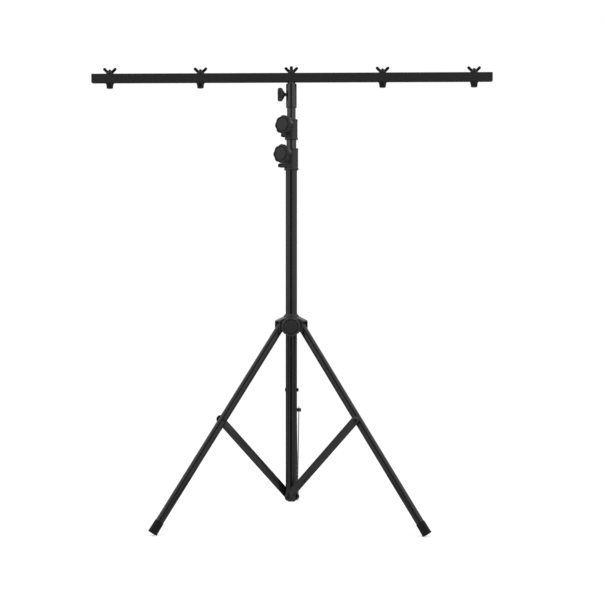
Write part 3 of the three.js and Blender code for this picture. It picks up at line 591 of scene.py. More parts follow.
# Fixture bolts, post and wing nuts
BOLT_RADIUS = 0.004
THREAD_PITCH = 0.00125
HEAD_RADIUS = 0.0115
HEAD_END_RADIUS = 0.0095
HEAD_HEIGHT = 0.015
HEAD_EDGE = 0.0008
FLANGE_RADIUS = 0.0125
FLANGE_THICKNESS = 0.002
HEAD_RECESS_RADIUS = 0.0052
HEAD_RECESS_DEPTH = 0.006
WING_HUB_RADIUS = 0.011
WING_HUB_TOP_RADIUS = 0.0065
WING_HUB_HEIGHT = 0.010
WING_SPAN = 0.041
WING_RISE = 0.019
WING_RADIUS = 0.0044
WING_THICKNESS = 0.003
WING_EDGE = 0.001
WING_STEPS = 8


def fixture_bolt(number):
    low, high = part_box(f"fixture_bolt_{number}")
    seat = BAR_LOW.z - FIT
    head_top = seat - FLANGE_THICKNESS
    head = lathe([
        (0, head_top - HEAD_HEIGHT), (HEAD_END_RADIUS, head_top - HEAD_HEIGHT),
        (HEAD_RADIUS, head_top), (0, head_top),
    ], HEX_SIDES)
    head = bevelled(head, HEAD_EDGE)
    flange = rod(FLANGE_RADIUS, head_top - FLANGE_THICKNESS / 2, seat)
    recess = lathe([
        (0, low.z - EDGE), (HEAD_RECESS_RADIUS, low.z - EDGE),
        (HEAD_RECESS_RADIUS, low.z + HEAD_RECESS_DEPTH), (0, low.z + HEAD_RECESS_DEPTH),
    ], HEX_SIDES)
    mesh = joined(cut(joined(head, flange), recess), threaded(BOLT_RADIUS, seat - EDGE, high.z, THREAD_PITCH))
    place = shift(bolt_column(number), AXIS_Y)
    piece(f"bolt_{number}", moved(mesh, place), f"fixture_bolt_{number}", "dark_fastener", fastener_black,
          f"fixture_bolt_{number}")


def wing_nut(name, body, x, base, stud_radius):
    hub = lathe(softened([
        (0, 0), (WING_HUB_RADIUS, 0), (WING_HUB_RADIUS, FLANGE_THICKNESS),
        (WING_HUB_TOP_RADIUS, WING_HUB_HEIGHT), (0, WING_HUB_HEIGHT),
    ], EDGE), SMALL_SIDES)
    tip_x = WING_SPAN / 2 - WING_RADIUS
    tip_z = WING_RISE - WING_RADIUS
    root_x = WING_HUB_TOP_RADIUS
    root_z = WING_HUB_HEIGHT / 2
    lean = math.atan2(tip_z - root_z, tip_x - root_x)
    outline = arc(root_x, root_z, WING_RADIUS, lean + math.pi / 2, lean + math.pi * 3 / 2, WING_STEPS)
    outline += arc(tip_x, tip_z, WING_RADIUS, lean - math.pi / 2, lean + math.pi / 2, WING_STEPS)
    wings = []
    for facing in (0, math.pi):
        wing = bevelled(prism(outline, -WING_THICKNESS / 2, WING_THICKNESS / 2), WING_EDGE)
        wings.append(moved(wing, turn(facing, "Z"), turn(math.pi / 2, "X")))
    bore = rod(stud_radius + FIT, -EDGE, WING_RISE, edge=0)
    mesh = cut(joined(hub, *wings), bore)
    piece(f"{name}_cast", moved(mesh, shift(x, AXIS_Y, base)), body, "dark_fastener", fastener_black, name)


for number in BOLT_NUMBERS:
    fixture_bolt(number)
    wing_nut(f"wing_nut_{number}", f"wing_nut_{number}", bolt_column(number), BAR_HIGH.z + FIT, BOLT_RADIUS)
wing_nut("centre_wing_nut", "centre_wing_nut", AXIS_X, BAR_HIGH.z + FIT, radius_of("bar_post"))
post_mesh = threaded(radius_of("bar_post"), *heights("bar_post"), THREAD_PITCH)
piece("post_stud", moved(post_mesh, MAST), "socket", "dark_fastener", fastener_black, "bar_post")


# Clamp collars, their screws and knobs
CLAMP_AZIMUTH = math.radians(238)
SCREW_AZIMUTH = math.radians(205)
LOWER_COLLAR_RADIUS = 0.0202
UPPER_COLLAR_RADIUS = 0.0185
LOWER_BOSS_REACH = 0.034
UPPER_BOSS_REACH = 0.025
LOWER_SCREW_REACH = 0.036
UPPER_SCREW_REACH = 0.0265
COLLAR_LIP = 0.003
COLLAR_FLARE = 0.0012
COLLAR_FLARE_HEIGHT = 0.006
COLLAR_ROUNDING = 0.00075
COLLAR_EDGE = 0.0007
CLAMP_BOSS_RADIUS = 0.012
SCREW_BOSS_RADIUS = 0.0065
SCREW_RISE = 0.013
SCREW_HEAD_RADIUS = 0.006
SCREW_HEAD_HEIGHT = 0.006
SCREW_RADIUS = 0.0025
SCREW_DEPTH = 0.008
SCREW_RECESS_RADIUS = 0.0028
SCREW_RECESS_BASE = 0.003
SCREW_RECESS_END = 0.01
STUD_RADIUS = 0.004
STUD_GRIP = 0.012


def clamp(level, body, inner_node, outer, boss_reach, screw_reach):
    """A collar on a body's tube with the knob's boss, and the fixing screw in its own boss below."""
    low, high = heights(f"{level}_clamp")
    knob_height = joints[f"{level}_clamp_knob_turn"]["pos_m"][2]
    seat = radius_of(body) + FIT
    lip = radius_of(inner_node) + SLIDE + FIT
    flare = outer + COLLAR_FLARE
    outline = [
        (seat, low), (flare, low), (flare, low + COLLAR_FLARE_HEIGHT),
        (outer, low + COLLAR_FLARE_HEIGHT + COLLAR_FLARE), (outer, high - 2 * COLLAR_LIP),
        (outer + COLLAR_FLARE / 2, high - 1.5 * COLLAR_LIP), (outer + COLLAR_FLARE / 2, high),
        (lip, high), (lip, high - COLLAR_LIP), (seat, high - COLLAR_LIP),
    ]
    shell = lathe(softened(outline, COLLAR_ROUNDING, closed=True), MID_SIDES, closed=True)
    knob_place = radial(CLAMP_AZIMUTH, knob_height)
    knob_boss = moved(rod(CLAMP_BOSS_RADIUS, seat, boss_reach, MID_SIDES), knob_place)
    screw_place = radial(SCREW_AZIMUTH, low + SCREW_RISE)
    screw_boss = moved(rod(SCREW_BOSS_RADIUS, seat, screw_reach), screw_place)
    bore = rod(seat, low - EDGE, high - COLLAR_LIP, MID_SIDES, edge=0)
    mouth = rod(lip, low - EDGE, high + EDGE, MID_SIDES, edge=0)
    stud_hole = moved(rod(STUD_RADIUS + FIT, 0, boss_reach * 2, edge=0), knob_place)
    screw_hole = rod(SCREW_RADIUS + FIT, screw_reach - SCREW_DEPTH, screw_reach * 2, edge=0)
    mesh = cut(joined(shell, knob_boss, screw_boss), bore, mouth, stud_hole, moved(screw_hole, screw_place))
    piece(f"{level}_collar", moved(bevelled(mesh, COLLAR_EDGE), MAST), body, "moulded_black", moulded_black,
          f"{level}_clamp")

    seat_reach = screw_reach + FIT
    half_head = SCREW_HEAD_HEIGHT / 2
    dome = [
        (0, screw_reach - SCREW_DEPTH), (SCREW_RADIUS, screw_reach - SCREW_DEPTH), (SCREW_RADIUS, seat_reach),
        (SCREW_HEAD_RADIUS, seat_reach), (SCREW_HEAD_RADIUS, seat_reach + half_head),
    ]
    dome += arc(SCREW_HEAD_RADIUS / 2, seat_reach + half_head, half_head, 0, math.pi / 2)
    dome += [(0, seat_reach + SCREW_HEAD_HEIGHT)]
    recess = lathe([
        (0, seat_reach + SCREW_RECESS_BASE), (SCREW_RECESS_RADIUS, seat_reach + SCREW_RECESS_BASE),
        (SCREW_RECESS_RADIUS, seat_reach + SCREW_RECESS_END), (0, seat_reach + SCREW_RECESS_END),
    ], HEX_SIDES)
    screw = cut(lathe(dome, SMALL_SIDES), recess)
    piece(f"{level}_collar_screw", moved(screw, MAST @ screw_place), body, "dark_fastener", fastener_black,
          f"{level}_clamp_screw")


clamp("lower", "lower_mast", "middle_tube", LOWER_COLLAR_RADIUS, LOWER_BOSS_REACH, LOWER_SCREW_REACH)
clamp("upper", "middle_tube", "top_tube", UPPER_COLLAR_RADIUS, UPPER_BOSS_REACH, UPPER_SCREW_REACH)


LOBE_SIDES = 16
LOBE_SHARPNESS = 1.6


def scaled_outline(shares, radius, thickness):
    return [(radius * reach, thickness * rise) for reach, rise in shares]


def lobed(outline, radius, neck, lobes, depth, power):
    """A turned knob along +Z from its back at zero, with lobes that fade inward to its neck by a power."""
    knob = lathe(outline, lobes * LOBE_SIDES)
    for vertex in knob.verts:
        reach = math.hypot(vertex.co.x, vertex.co.y)
        if reach <= neck:
            continue
        phase = lobes * math.atan2(vertex.co.y, vertex.co.x)
        wave = ((1 - math.cos(phase)) / 2) ** LOBE_SHARPNESS
        share = 1 - wave * depth / radius * ((reach - neck) / (radius - neck)) ** power
        vertex.co.x *= share
        vertex.co.y *= share
    return outward(knob)


RIM_SHARES = [(0.88, 0.15), (0.97, 0.2), (1, 0.27), (1, 0.8), (0.82, 0.97), (0.78, 0.95)]
GROOVE_SHARES = [(0.75, 0.84), (0.71, 0.84)]
FACE_SHARES = [(0.68, 0.95), (0.63, 0.99), (0.3, 1), (0, 1)]
NECK_SHARE = 0.12
RIM_ROUNDING = 0.0013
FACE_ROUNDING = 0.0006
GRIP_POWER = 5


def round_grip(radius, neck, thickness, lobes, depth):
    """A knob with a lobed and chamfered rim round a groove and a raised face."""
    rim = [(0, 0), (neck, 0), (neck, thickness * NECK_SHARE)] + scaled_outline(RIM_SHARES, radius, thickness)
    face = scaled_outline(GROOVE_SHARES + FACE_SHARES, radius, thickness)
    outline = softened(rim, RIM_ROUNDING) + softened(face, FACE_ROUNDING)
    return lobed(outline, radius, neck, lobes, depth, GRIP_POWER)


THUMB_SHARES = [
    (0.55, 0.24), (0.85, 0.4), (1, 0.52), (1, 0.84), (0.9, 0.96), (0.78, 0.985), (0.6, 0.95), (0.35, 0.93),
]
THUMB_NECK_SHARE = 0.14
THUMB_FACE_SHARE = 0.93
THUMB_ROUNDING = 0.0022
THUMB_POWER = 2


def thumb_grip(radius, neck, thickness, lobes, depth):
    """A small knob with a coned back and a slightly hollow face."""
    outline = [(0, 0), (neck, 0), (neck, thickness * THUMB_NECK_SHARE)]
    outline += scaled_outline(THUMB_SHARES, radius, thickness) + [(0, thickness * THUMB_FACE_SHARE)]
    return lobed(softened(outline, THUMB_ROUNDING), radius, neck, lobes, depth, THUMB_POWER)


KNOB_RADIUS = 0.0285
KNOB_NECK_RADIUS = 0.010
KNOB_THICKNESS = 0.025
KNOB_LOBES = 8
KNOB_LOBE_DEPTH = 0.0024
HUB_KNOB_LOBES = 15
HUB_KNOB_LOBE_DEPTH = 0.0012
HUB_BOSS_REACH = 0.035
HUB_KNOB_AZIMUTH = -math.pi / 2


def knob_and_stud(name, lobes, lobe_depth, azimuth, height, boss_reach, tube_node):
    """A large knob just off its boss, and its stud, which ends just off a tube."""
    body = f"{name}_knob"
    back = boss_reach + SLIDE
    knob = round_grip(KNOB_RADIUS, KNOB_NECK_RADIUS, KNOB_THICKNESS, lobes, lobe_depth)
    bore = rod(STUD_RADIUS + FIT, -EDGE, STUD_GRIP + FIT, edge=0)
    place = MAST @ radial(azimuth, height)
    mesh = moved(cut(knob, bore), place, shift(z=back))
    piece(f"{name}_grip", mesh, body, "knob_plastic", knob_black, body)
    stud = threaded(STUD_RADIUS, radius_of(tube_node) + FIT, back + STUD_GRIP, THREAD_PITCH)
    piece(f"{name}_screw_stud", moved(stud, place), body, "dark_fastener", fastener_black, f"{name}_stud")


def clamp_knob(level, boss_reach, tube_node):
    height = joints[f"{level}_clamp_knob_turn"]["pos_m"][2]
    knob_and_stud(f"{level}_clamp", KNOB_LOBES, KNOB_LOBE_DEPTH, CLAMP_AZIMUTH, height, boss_reach, tube_node)


clamp_knob("lower", LOWER_BOSS_REACH, "middle_tube")
clamp_knob("upper", UPPER_BOSS_REACH, "top_tube")
knob_and_stud("hub", HUB_KNOB_LOBES, HUB_KNOB_LOBE_DEPTH, HUB_KNOB_AZIMUTH, HUB_HEIGHT, HUB_BOSS_REACH,
              "lower_mast")

THUMB_RADIUS = 0.0205
THUMB_NECK_RADIUS = 0.0055
THUMB_THICKNESS = 0.025
THUMB_LOBES = 6
THUMB_LOBE_DEPTH = 0.003


def add_thumb_screw():
    back = radius_of("socket") + SLIDE
    grip = thumb_grip(THUMB_RADIUS, THUMB_NECK_RADIUS, THUMB_THICKNESS, THUMB_LOBES, THUMB_LOBE_DEPTH)
    shank = threaded(STUD_RADIUS, radius_of("top_tube") + FIT, back + THUMB_THICKNESS / 2, THREAD_PITCH)
    mesh = joined(moved(grip, shift(z=back)), shank)
    piece("thumb_grip", moved(mesh, MAST, radial(math.pi, THUMB_HEIGHT)), "thumb_screw", "knob_plastic",
          knob_black, "thumb_screw")


add_thumb_screw()


# Legs, braces and hub
HUB_REACH = 0.036
MID_REACH = 0.227
LINK = 0.330
LEG_ANGLE = math.asin((MID_REACH - HUB_REACH) / LINK)
BRACE_ANGLE = math.asin(MID_REACH / LINK)
LEG_RADIUS = 0.0122
LEG_WALL = 0.0015
LEG_TUBE_DROP = 0.008
LEG_PLUG_LENGTH = 0.030
LEG_PLUG_STEPS = 32
LEG_PLUG_EDGE = 0.0008
FOOT_RADIUS = 0.0145
FOOT_TOP_RADIUS = 0.0135
FOOT_LENGTH = 0.038
FOOT_SOLE = 0.006
FOOT_FLAT = 0.0015
FOOT_BAND = 0.004
FOOT_BAND_END = 0.0048
FOOT_BAND_STEP = 0.0006
FOOT_EDGE = 0.0009
LEG_LENGTH = (HUB_HEIGHT - FOOT_RADIUS * math.sin(LEG_ANGLE) + FOOT_FLAT) / math.cos(LEG_ANGLE)
PIVOT_RADIUS = 0.003
PIVOT_HEAD_RADIUS = 0.0065
PIVOT_HEAD_HEIGHT = 0.004
PIVOT_FLAT_SHARE = 0.3
PIVOT_DOME_STEPS = 8
RECESS_RADIUS = 0.0023
RECESS_DEPTH = 0.0022
NUT_RADIUS = 0.006
NUT_HEIGHT = 0.005
SPACER_RADIUS = 0.006
BRACE_HALF_WIDTH = 0.012
BRACE_THICKNESS = 0.0025
BRACE_EDGE = 0.0005
BRACE_STEPS = 20
CHANNEL_WIDTH_SHARE = 0.5
CHANNEL_START_SHARE = 2.2
CHANNEL_DEPTH = 0.0007
CHANNEL_STEPS = 12
HOOD_INNER = LEG_RADIUS + SLIDE
HOOD_WALL = 0.003
HOOD_OUTER = HOOD_INNER + HOOD_WALL
HOOD_ROOF = 0.0035
HOOD_ROOT = 0.016
HOOD_REACH = 0.048
HOOD_ROOT_RISE = 0.032
HOOD_END_RISE = 0.018
HOOD_DROP = 0.016
HOOD_ROUNDING = 0.005
HOOD_STEPS = 8
HOOD_EDGE = 0.001
BRACE_INNER = radius_of("lower_mast") + FIT
BRACE_OUTER = BRACE_INNER + BRACE_THICKNESS


def pivot_head(seat, tip):
    """A domed head at the seat with a shank to the tip, along +Z."""
    outline = [(0, tip), (PIVOT_RADIUS, tip), (PIVOT_RADIUS, seat), (PIVOT_HEAD_RADIUS, seat)]
    flat = seat + PIVOT_HEAD_HEIGHT * PIVOT_FLAT_SHARE
    rise = PIVOT_HEAD_HEIGHT * (1 - PIVOT_FLAT_SHARE)
    outline.append((PIVOT_HEAD_RADIUS, flat))
    for i in range(1, PIVOT_DOME_STEPS + 1):
        turned = i * math.pi / 2 / PIVOT_DOME_STEPS
        outline.append((PIVOT_HEAD_RADIUS * math.cos(turned), flat + rise * math.sin(turned)))
    return lathe(outline, SMALL_SIDES)


def hex_nut(radius, low, high):
    return bevelled(lathe([(0, low), (radius, low), (radius, high), (0, high)], HEX_SIDES), NUT_EDGE)


def socket_cut(top):
    """What cuts the six-sided recess of a bolt's head."""
    base = top - RECESS_DEPTH
    return lathe([(0, base), (RECESS_RADIUS, base), (RECESS_RADIUS, top + EDGE), (0, top + EDGE)], HEX_SIDES)


def leg_tube():
    return pipe(LEG_RADIUS - LEG_WALL, LEG_RADIUS, -LEG_LENGTH + FOOT_SOLE + FIT, -LEG_TUBE_DROP, MID_SIDES)


def leg_plug():
    """A plug in the leg's end, whose head is round about the pivot and as wide as the tube."""
    shoulder = -LEG_TUBE_DROP + FIT
    outline = [(-LEG_RADIUS, shoulder), (LEG_RADIUS, shoulder)]
    outline += arc(0, 0, LEG_RADIUS, 0, math.pi, LEG_PLUG_STEPS)
    blank = moved(prism(outline, -LEG_RADIUS, LEG_RADIUS), turn(math.pi / 2, "X"))
    head = combined(rod(LEG_RADIUS, shoulder, LEG_RADIUS + EDGE, MID_SIDES), "INTERSECT", blank)
    spigot = rod(LEG_RADIUS - LEG_WALL - FIT, shoulder - LEG_PLUG_LENGTH, shoulder + FIT, MID_SIDES)
    return joined(bevelled(head, LEG_PLUG_EDGE), spigot)


def foot():
    """A rubber cup, flat where it stands on the floor."""
    top = -LEG_LENGTH + FOOT_LENGTH
    seat = LEG_RADIUS + FIT
    outline = [
        (0, -LEG_LENGTH), (FOOT_RADIUS, -LEG_LENGTH), (FOOT_RADIUS, -LEG_LENGTH + FOOT_BAND),
        (FOOT_RADIUS - FOOT_BAND_STEP, -LEG_LENGTH + FOOT_BAND_END), (FOOT_TOP_RADIUS, top), (seat, top),
        (seat, -LEG_LENGTH + FOOT_SOLE), (0, -LEG_LENGTH + FOOT_SOLE),
    ]
    return lathe(softened(outline, FOOT_EDGE), MID_SIDES)


def brace():
    """A flat bar with round ends and a pressed channel between its pivots, across Z in its own frame."""
    half = BRACE_HALF_WIDTH
    outline = arc(0, 0, half, math.pi, 2 * math.pi, BRACE_STEPS) + arc(0, LINK, half, 0, math.pi, BRACE_STEPS)
    bar = prism(outline, BRACE_INNER, BRACE_OUTER)
    inner = half * CHANNEL_WIDTH_SHARE
    start = half * CHANNEL_START_SHARE
    groove = arc(0, start, inner, math.pi, 2 * math.pi, CHANNEL_STEPS)
    groove += arc(0, LINK - start, inner, 0, math.pi, CHANNEL_STEPS)
    channel = prism(groove, BRACE_OUTER - CHANNEL_DEPTH, BRACE_OUTER + EDGE)
    mesh = bevelled(cut(bar, channel), BRACE_EDGE)
    return moved(mesh, turn(math.pi / 2, "X"))


def hood_shape(outline, half_width, edge=0):
    """A plate across the leg's plane, with its edges rounded if an edge is given."""
    plate = prism(outline, -half_width, half_width)
    if edge:
        plate = bevelled(plate, edge)
    return moved(plate, turn(math.pi / 2, "X"))


def hood():
    """A leg's hood in the leg's plane: its full block, and the channel that is cut from it."""
    slope = math.atan2(HOOD_ROOT_RISE - HOOD_END_RISE, HOOD_REACH - HOOD_ROOT)
    turned = math.pi / 2 - slope
    corner_rise = HOOD_END_RISE - HOOD_ROUNDING * math.tan(turned / 2)
    outline = [(HOOD_ROOT, -HOOD_DROP), (HOOD_REACH, -HOOD_DROP)]
    outline += arc(HOOD_REACH - HOOD_ROUNDING, corner_rise, HOOD_ROUNDING, 0, turned, HOOD_STEPS)
    outline += [(HOOD_ROOT, HOOD_ROOT_RISE)]

    def inside(reach):
        return HOOD_ROOT_RISE - (reach - HOOD_ROOT) * math.tan(slope) - HOOD_ROOF / math.cos(slope)

    start, end = HUB_BODY_RADIUS, HOOD_REACH + 2 * EDGE
    low = -HOOD_DROP - 2 * EDGE
    channel = [(start, low), (end, low), (end, inside(end)), (start, inside(start))]
    return hood_shape(outline, HOOD_OUTER, HOOD_EDGE), hood_shape(channel, HOOD_INNER)


HUB_BODY_RADIUS = 0.023
HUB_NECK_RADIUS = 0.0188
HUB_DEPTH = 0.020
HUB_SHOULDER = 0.031
HUB_RISE = 0.038
HUB_ROUNDING = 0.0012
HUB_EDGE = 0.0006
HUB_BOSS_RADIUS = 0.013


def add_hub(azimuths):
    """The sliding casting, with a hood at each leg's azimuth and the knob's boss."""
    bore = radius_of("lower_mast") + SLIDE
    seat = radius_of("hub_bush") + FIT
    low = HUB_HEIGHT - HUB_DEPTH
    high = HUB_HEIGHT + HUB_RISE
    bush_top = heights("hub_bush")[1] + FIT
    body = lathe(softened([
        (0, low), (HUB_BODY_RADIUS, low), (HUB_BODY_RADIUS, HUB_HEIGHT + HUB_SHOULDER),
        (HUB_NECK_RADIUS, high), (0, high),
    ], HUB_ROUNDING), BIG_SIDES)
    hoods, channels = [], []
    for azimuth in azimuths:
        for shape, group in zip(hood(), (hoods, channels)):
            group.append(moved(shape, shift(z=HUB_HEIGHT), turn(azimuth, "Z")))
    boss_place = radial(HUB_KNOB_AZIMUTH, HUB_HEIGHT)
    boss = moved(rod(HUB_BOSS_RADIUS, bore, HUB_BOSS_REACH, MID_SIDES), boss_place)
    hole = moved(rod(STUD_RADIUS + FIT, 0, HUB_BOSS_REACH * 2, edge=0), boss_place)
    mesh = cut(
        joined(body, *hoods, boss),
        *channels,
        rod(bore, low - EDGE, high + EDGE, BIG_SIDES, edge=0),
        rod(seat, low - EDGE, bush_top, BIG_SIDES, edge=0),
        hole,
    )
    piece("hub_casting", moved(bevelled(mesh, HUB_EDGE), MAST), "hub", "moulded_black", moulded_black, "hub")


def add_leg(side):
    """A leg, its brace, and their pivots at the hub, in the middle and at the bracket. Gives the azimuth."""
    leg_joint = joints[f"leg_{side}_fold"]
    axis = leg_joint["axis"]
    azimuth = math.atan2(-axis[0], axis[1])
    plane = MAST @ turn(azimuth, "Z")
    leg_place = plane @ shift(HUB_REACH, 0, HUB_HEIGHT) @ turn(-LEG_ANGLE, "Y")
    brace_place = plane @ shift(z=BRACKET_HEIGHT) @ turn(BRACE_ANGLE, "Y")
    leg = f"leg_{side}"

    piece(f"{leg}_pipe", moved(leg_tube(), leg_place), leg, "painted_steel", leg_paint, f"leg_tube_{side}")
    piece(f"{leg}_tongue", moved(leg_plug(), leg_place), leg, "moulded_black", moulded_black,
          f"leg_plug_{side}")
    cup = moved(foot(), leg_place)
    for vertex in cup.verts:
        vertex.co.z = max(vertex.co.z, 0)
    piece(f"{leg}_rubber", cup, leg, "foot_rubber", foot_black, f"foot_{side}")

    seat = LEG_RADIUS + FIT
    bolt = cut(pivot_head(seat, -BRACE_INNER + FIT), socket_cut(seat + PIVOT_HEAD_HEIGHT))
    spacer = rod(SPACER_RADIUS, -BRACE_INNER + FIT, -LEG_RADIUS - FIT)
    mesh = moved(joined(bolt, spacer), leg_place, shift(z=-LINK), ALONG_Y)
    piece(f"{leg}_mid_bolt", mesh, leg, "dark_fastener", fastener_black, f"leg_bolt_{side}")

    rivet_seat = HOOD_OUTER + FIT
    first = pivot_head(rivet_seat, -rivet_seat)
    second = moved(pivot_head(rivet_seat, -rivet_seat), turn(math.pi, "X"))
    rivet = moved(joined(first, second), plane, shift(HUB_REACH, 0, HUB_HEIGHT), ALONG_Y)
    piece(f"hub_rivet_{side}", rivet, "hub", "dark_fastener", fastener_black, f"hub_pivot_rivet_{side}")

    brace_body = f"brace_{side}"
    piece(f"{brace_body}_strip", moved(brace(), brace_place), brace_body, "painted_steel", brace_paint,
          brace_body)
    nut_seat = BRACE_OUTER + FIT
    end = rod(PIVOT_RADIUS, -nut_seat - NUT_HEIGHT - FIT, -BRACE_INNER)
    mesh = joined(hex_nut(NUT_RADIUS, -nut_seat - NUT_HEIGHT, -nut_seat), end)
    mesh = moved(mesh, brace_place, shift(z=LINK), ALONG_Y)
    piece(f"{brace_body}_lock_nut", mesh, brace_body, "dark_fastener", fastener_black, f"brace_nut_{side}")

    screw = cut(pivot_head(nut_seat, radius_of("lower_mast") / 2), socket_cut(nut_seat + PIVOT_HEAD_HEIGHT))
    mesh = moved(screw, plane, shift(z=BRACKET_HEIGHT), turn(math.pi, "Z"), ALONG_Y)
    piece(f"bracket_bolt_{side}", mesh, "lower_mast", "dark_fastener", fastener_black,
          f"bracket_screw_{side}")
    return azimuth


leg_azimuths = [add_leg(side) for side in ("left", "right", "back")]
add_hub(leg_azimuths)

STOP_RADIUS = 0.003
STOP_HEAD_RADIUS = 0.006
STOP_HEAD_HEIGHT = 0.0016


def add_stop_bolt():
    low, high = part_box("stop_bolt")
    height = (low.z + high.z) / 2
    seat = radius_of("lower_mast") + FIT
    left_end = low.x - AXIS_X
    right_end = high.x - AXIS_X
    shank = rod(STOP_RADIUS, left_end + STOP_HEAD_HEIGHT / 2, right_end - EDGE)
    head = rod(STOP_HEAD_RADIUS, left_end, -seat)
    nut = hex_nut(STOP_HEAD_RADIUS, seat, right_end)
    mesh = moved(joined(shank, head, nut), MAST, shift(z=height), ALONG_X)
    piece("stop_screw", mesh, "lower_mast", "dark_fastener", fastener_black, "stop_bolt")


add_stop_bolt()


# Floor, lights and surroundings
FLOOR_SIZE = 60
FLOOR_TONE = 0.85
FLOOR_ROUGHNESS = 0.9
SOFTBOX_WIDTH = 1.3
SOFTBOX_HEIGHT = 2.6
SOFTBOX_DISTANCE = 2.2
SOFTBOX_CENTRE = 1.35
SOFTBOX_WATTS = 13
SOFTBOX_TURN = math.radians(47)
GAP_AZIMUTH = math.radians(-5)
GAP_HALF_WIDTH = math.radians(18)
FLAG_START = math.radians(112)
FLAG_END = math.radians(160)
FLAG_RISE = 0.25
FLAG_FADE = 0.04
SECTOR_EDGE = math.radians(2)
DARK_LEVEL = 0.02
FILL_LEVEL = 0.6
FLOOR_GLOW = 0.5


def maths(nodes, links, operation, first, second=None):
    """A Math node's result for two sockets or numbers."""
    node = nodes.new("ShaderNodeMath")
    node.operation = operation
    for slot, value in zip(node.inputs, (first, second)):
        if isinstance(value, (int, float)):
            slot.default_value = value
        elif value is not None:
            links.new(value, slot)
    return node.outputs["Value"]


def past(nodes, links, value, edge, half_width):
    """0 below an edge and 1 above it, with a soft step between."""
    ramp = nodes.new("ShaderNodeMapRange")
    ramp.interpolation_type = "SMOOTHSTEP"
    socket(ramp, "From Min").default_value = edge - half_width
    socket(ramp, "From Max").default_value = edge + half_width
    links.new(value, socket(ramp, "Value"))
    return ramp.outputs["Result"]


def studio(nodes, links, vector):
    """How light gloss sees a direction: white, but for a dark gap in front and two low dark side flags.

    Also 1 for what lies behind the object, else 0.
    """
    parts = nodes.new("ShaderNodeSeparateXYZ")
    links.new(vector, parts.inputs["Vector"])
    front = maths(nodes, links, "MULTIPLY", parts.outputs["Y"], -1.0)
    azimuth = maths(nodes, links, "ARCTAN2", parts.outputs["X"], front)
    aside = maths(nodes, links, "ABSOLUTE", maths(nodes, links, "SUBTRACT", azimuth, GAP_AZIMUTH))
    turned = maths(nodes, links, "ABSOLUTE", azimuth)
    behind = past(nodes, links, turned, FLAG_END, SECTOR_EDGE)
    before = maths(nodes, links, "SUBTRACT", 1.0, past(nodes, links, turned, FLAG_START, SECTOR_EDGE))
    above = past(nodes, links, parts.outputs["Z"], FLAG_RISE, FLAG_FADE)
    clear = maths(nodes, links, "MAXIMUM", maths(nodes, links, "MAXIMUM", behind, before), above)
    lit = maths(nodes, links, "MULTIPLY", clear, past(nodes, links, aside, GAP_HALF_WIDTH, SECTOR_EDGE))
    return maths(nodes, links, "MAXIMUM", lit, DARK_LEVEL), behind


def seen_through(nodes, links, path):
    """1 for a ray from the camera or through something clear, else 0."""
    return maths(nodes, links, "MAXIMUM", path.outputs["Is Camera Ray"], path.outputs["Is Transmission Ray"])


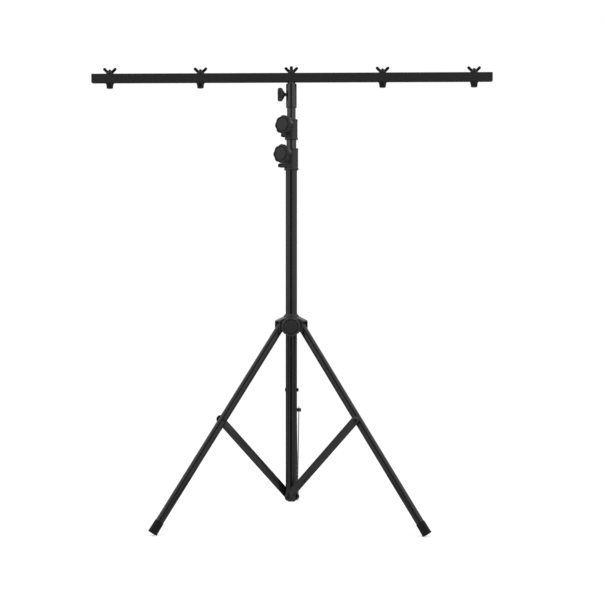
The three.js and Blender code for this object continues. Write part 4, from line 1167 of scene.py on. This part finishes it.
def add_floor():
    """A pale floor that looks white to the camera. Gloss sees the studio's dark sectors in it."""
    bpy.ops.mesh.primitive_plane_add(size=FLOOR_SIZE, location=(AXIS_X, AXIS_Y, 0))
    floor = bpy.context.object
    floor.name = "floor"
    material = bpy.data.materials.new("floor")
    material.use_nodes = True
    nodes = material.node_tree.nodes
    links = material.node_tree.links
    shader = nodes["Principled BSDF"]
    socket(shader, "Base Color").default_value = (FLOOR_TONE, FLOOR_TONE, FLOOR_TONE, 1)
    socket(shader, "Roughness").default_value = FLOOR_ROUGHNESS
    socket(shader, "Specular IOR Level").default_value = 0
    socket(shader, "Emission Color").default_value = (1, 1, 1, 1)
    place = nodes.new("ShaderNodeTexCoord")
    path = nodes.new("ShaderNodeLightPath")
    direct = seen_through(nodes, links, path)
    level, behind = studio(nodes, links, place.outputs["Object"])
    reflected = maths(nodes, links, "MULTIPLY", path.outputs["Is Glossy Ray"], behind)
    shown = maths(nodes, links, "MAXIMUM", direct, reflected)
    links.new(maths(nodes, links, "MULTIPLY", shown, FLOOR_GLOW), socket(shader, "Emission Strength"))
    darkness = maths(nodes, links, "SUBTRACT", 1.0, level)
    hidden = maths(nodes, links, "MULTIPLY", path.outputs["Is Glossy Ray"], darkness)
    shade = nodes.new("ShaderNodeEmission")
    socket(shade, "Strength").default_value = DARK_LEVEL
    blend = nodes.new("ShaderNodeMixShader")
    links.new(hidden, blend.inputs[0])
    links.new(shader.outputs["BSDF"], blend.inputs[1])
    links.new(shade.outputs["Emission"], blend.inputs[2])
    links.new(blend.outputs["Shader"], nodes["Material Output"].inputs["Surface"])
    floor.data.materials.append(material)


def add_world():
    """White where a camera looks, the studio's sectors for gloss, and a pale fill for the rest."""
    world = bpy.data.worlds.new("world")
    bpy.context.scene.world = world
    world.use_nodes = True
    nodes = world.node_tree.nodes
    links = world.node_tree.links
    background = nodes["Background"]
    path = nodes.new("ShaderNodeLightPath")
    place = nodes.new("ShaderNodeTexCoord")
    glossy = nodes.new("ShaderNodeMix")
    links.new(path.outputs["Is Glossy Ray"], socket(glossy, "Factor"))
    socket(glossy, "A").default_value = FILL_LEVEL
    links.new(studio(nodes, links, place.outputs["Generated"])[0], socket(glossy, "B"))
    direct = seen_through(nodes, links, path)
    level = nodes.new("ShaderNodeMix")
    links.new(direct, socket(level, "Factor"))
    links.new(glossy.outputs["Result"], socket(level, "A"))
    socket(level, "B").default_value = 1.0
    links.new(level.outputs["Result"], socket(background, "Strength"))
    socket(background, "Color").default_value = (1, 1, 1, 1)


def add_softbox(name, azimuth):
    """A tall area light at an azimuth from the front, facing the mast."""
    data = bpy.data.lights.new(name, "AREA")
    data.shape = "RECTANGLE"
    data.size = SOFTBOX_WIDTH
    data.size_y = SOFTBOX_HEIGHT
    data.energy = SOFTBOX_WATTS
    light = bpy.data.objects.new(name, data)
    bpy.context.scene.collection.objects.link(light)
    back = Vector((math.sin(azimuth), -math.cos(azimuth), 0))
    light.location = Vector((AXIS_X, AXIS_Y, SOFTBOX_CENTRE)) + back * SOFTBOX_DISTANCE
    light.rotation_mode = "QUATERNION"
    light.rotation_quaternion = (-back).to_track_quat("-Z", "Z")
    light.visible_glossy = False


add_floor()
add_world()
add_softbox("softbox_left", -SOFTBOX_TURN + CAMERA_AZIMUTH)
add_softbox("softbox_right", SOFTBOX_TURN + CAMERA_AZIMUTH)
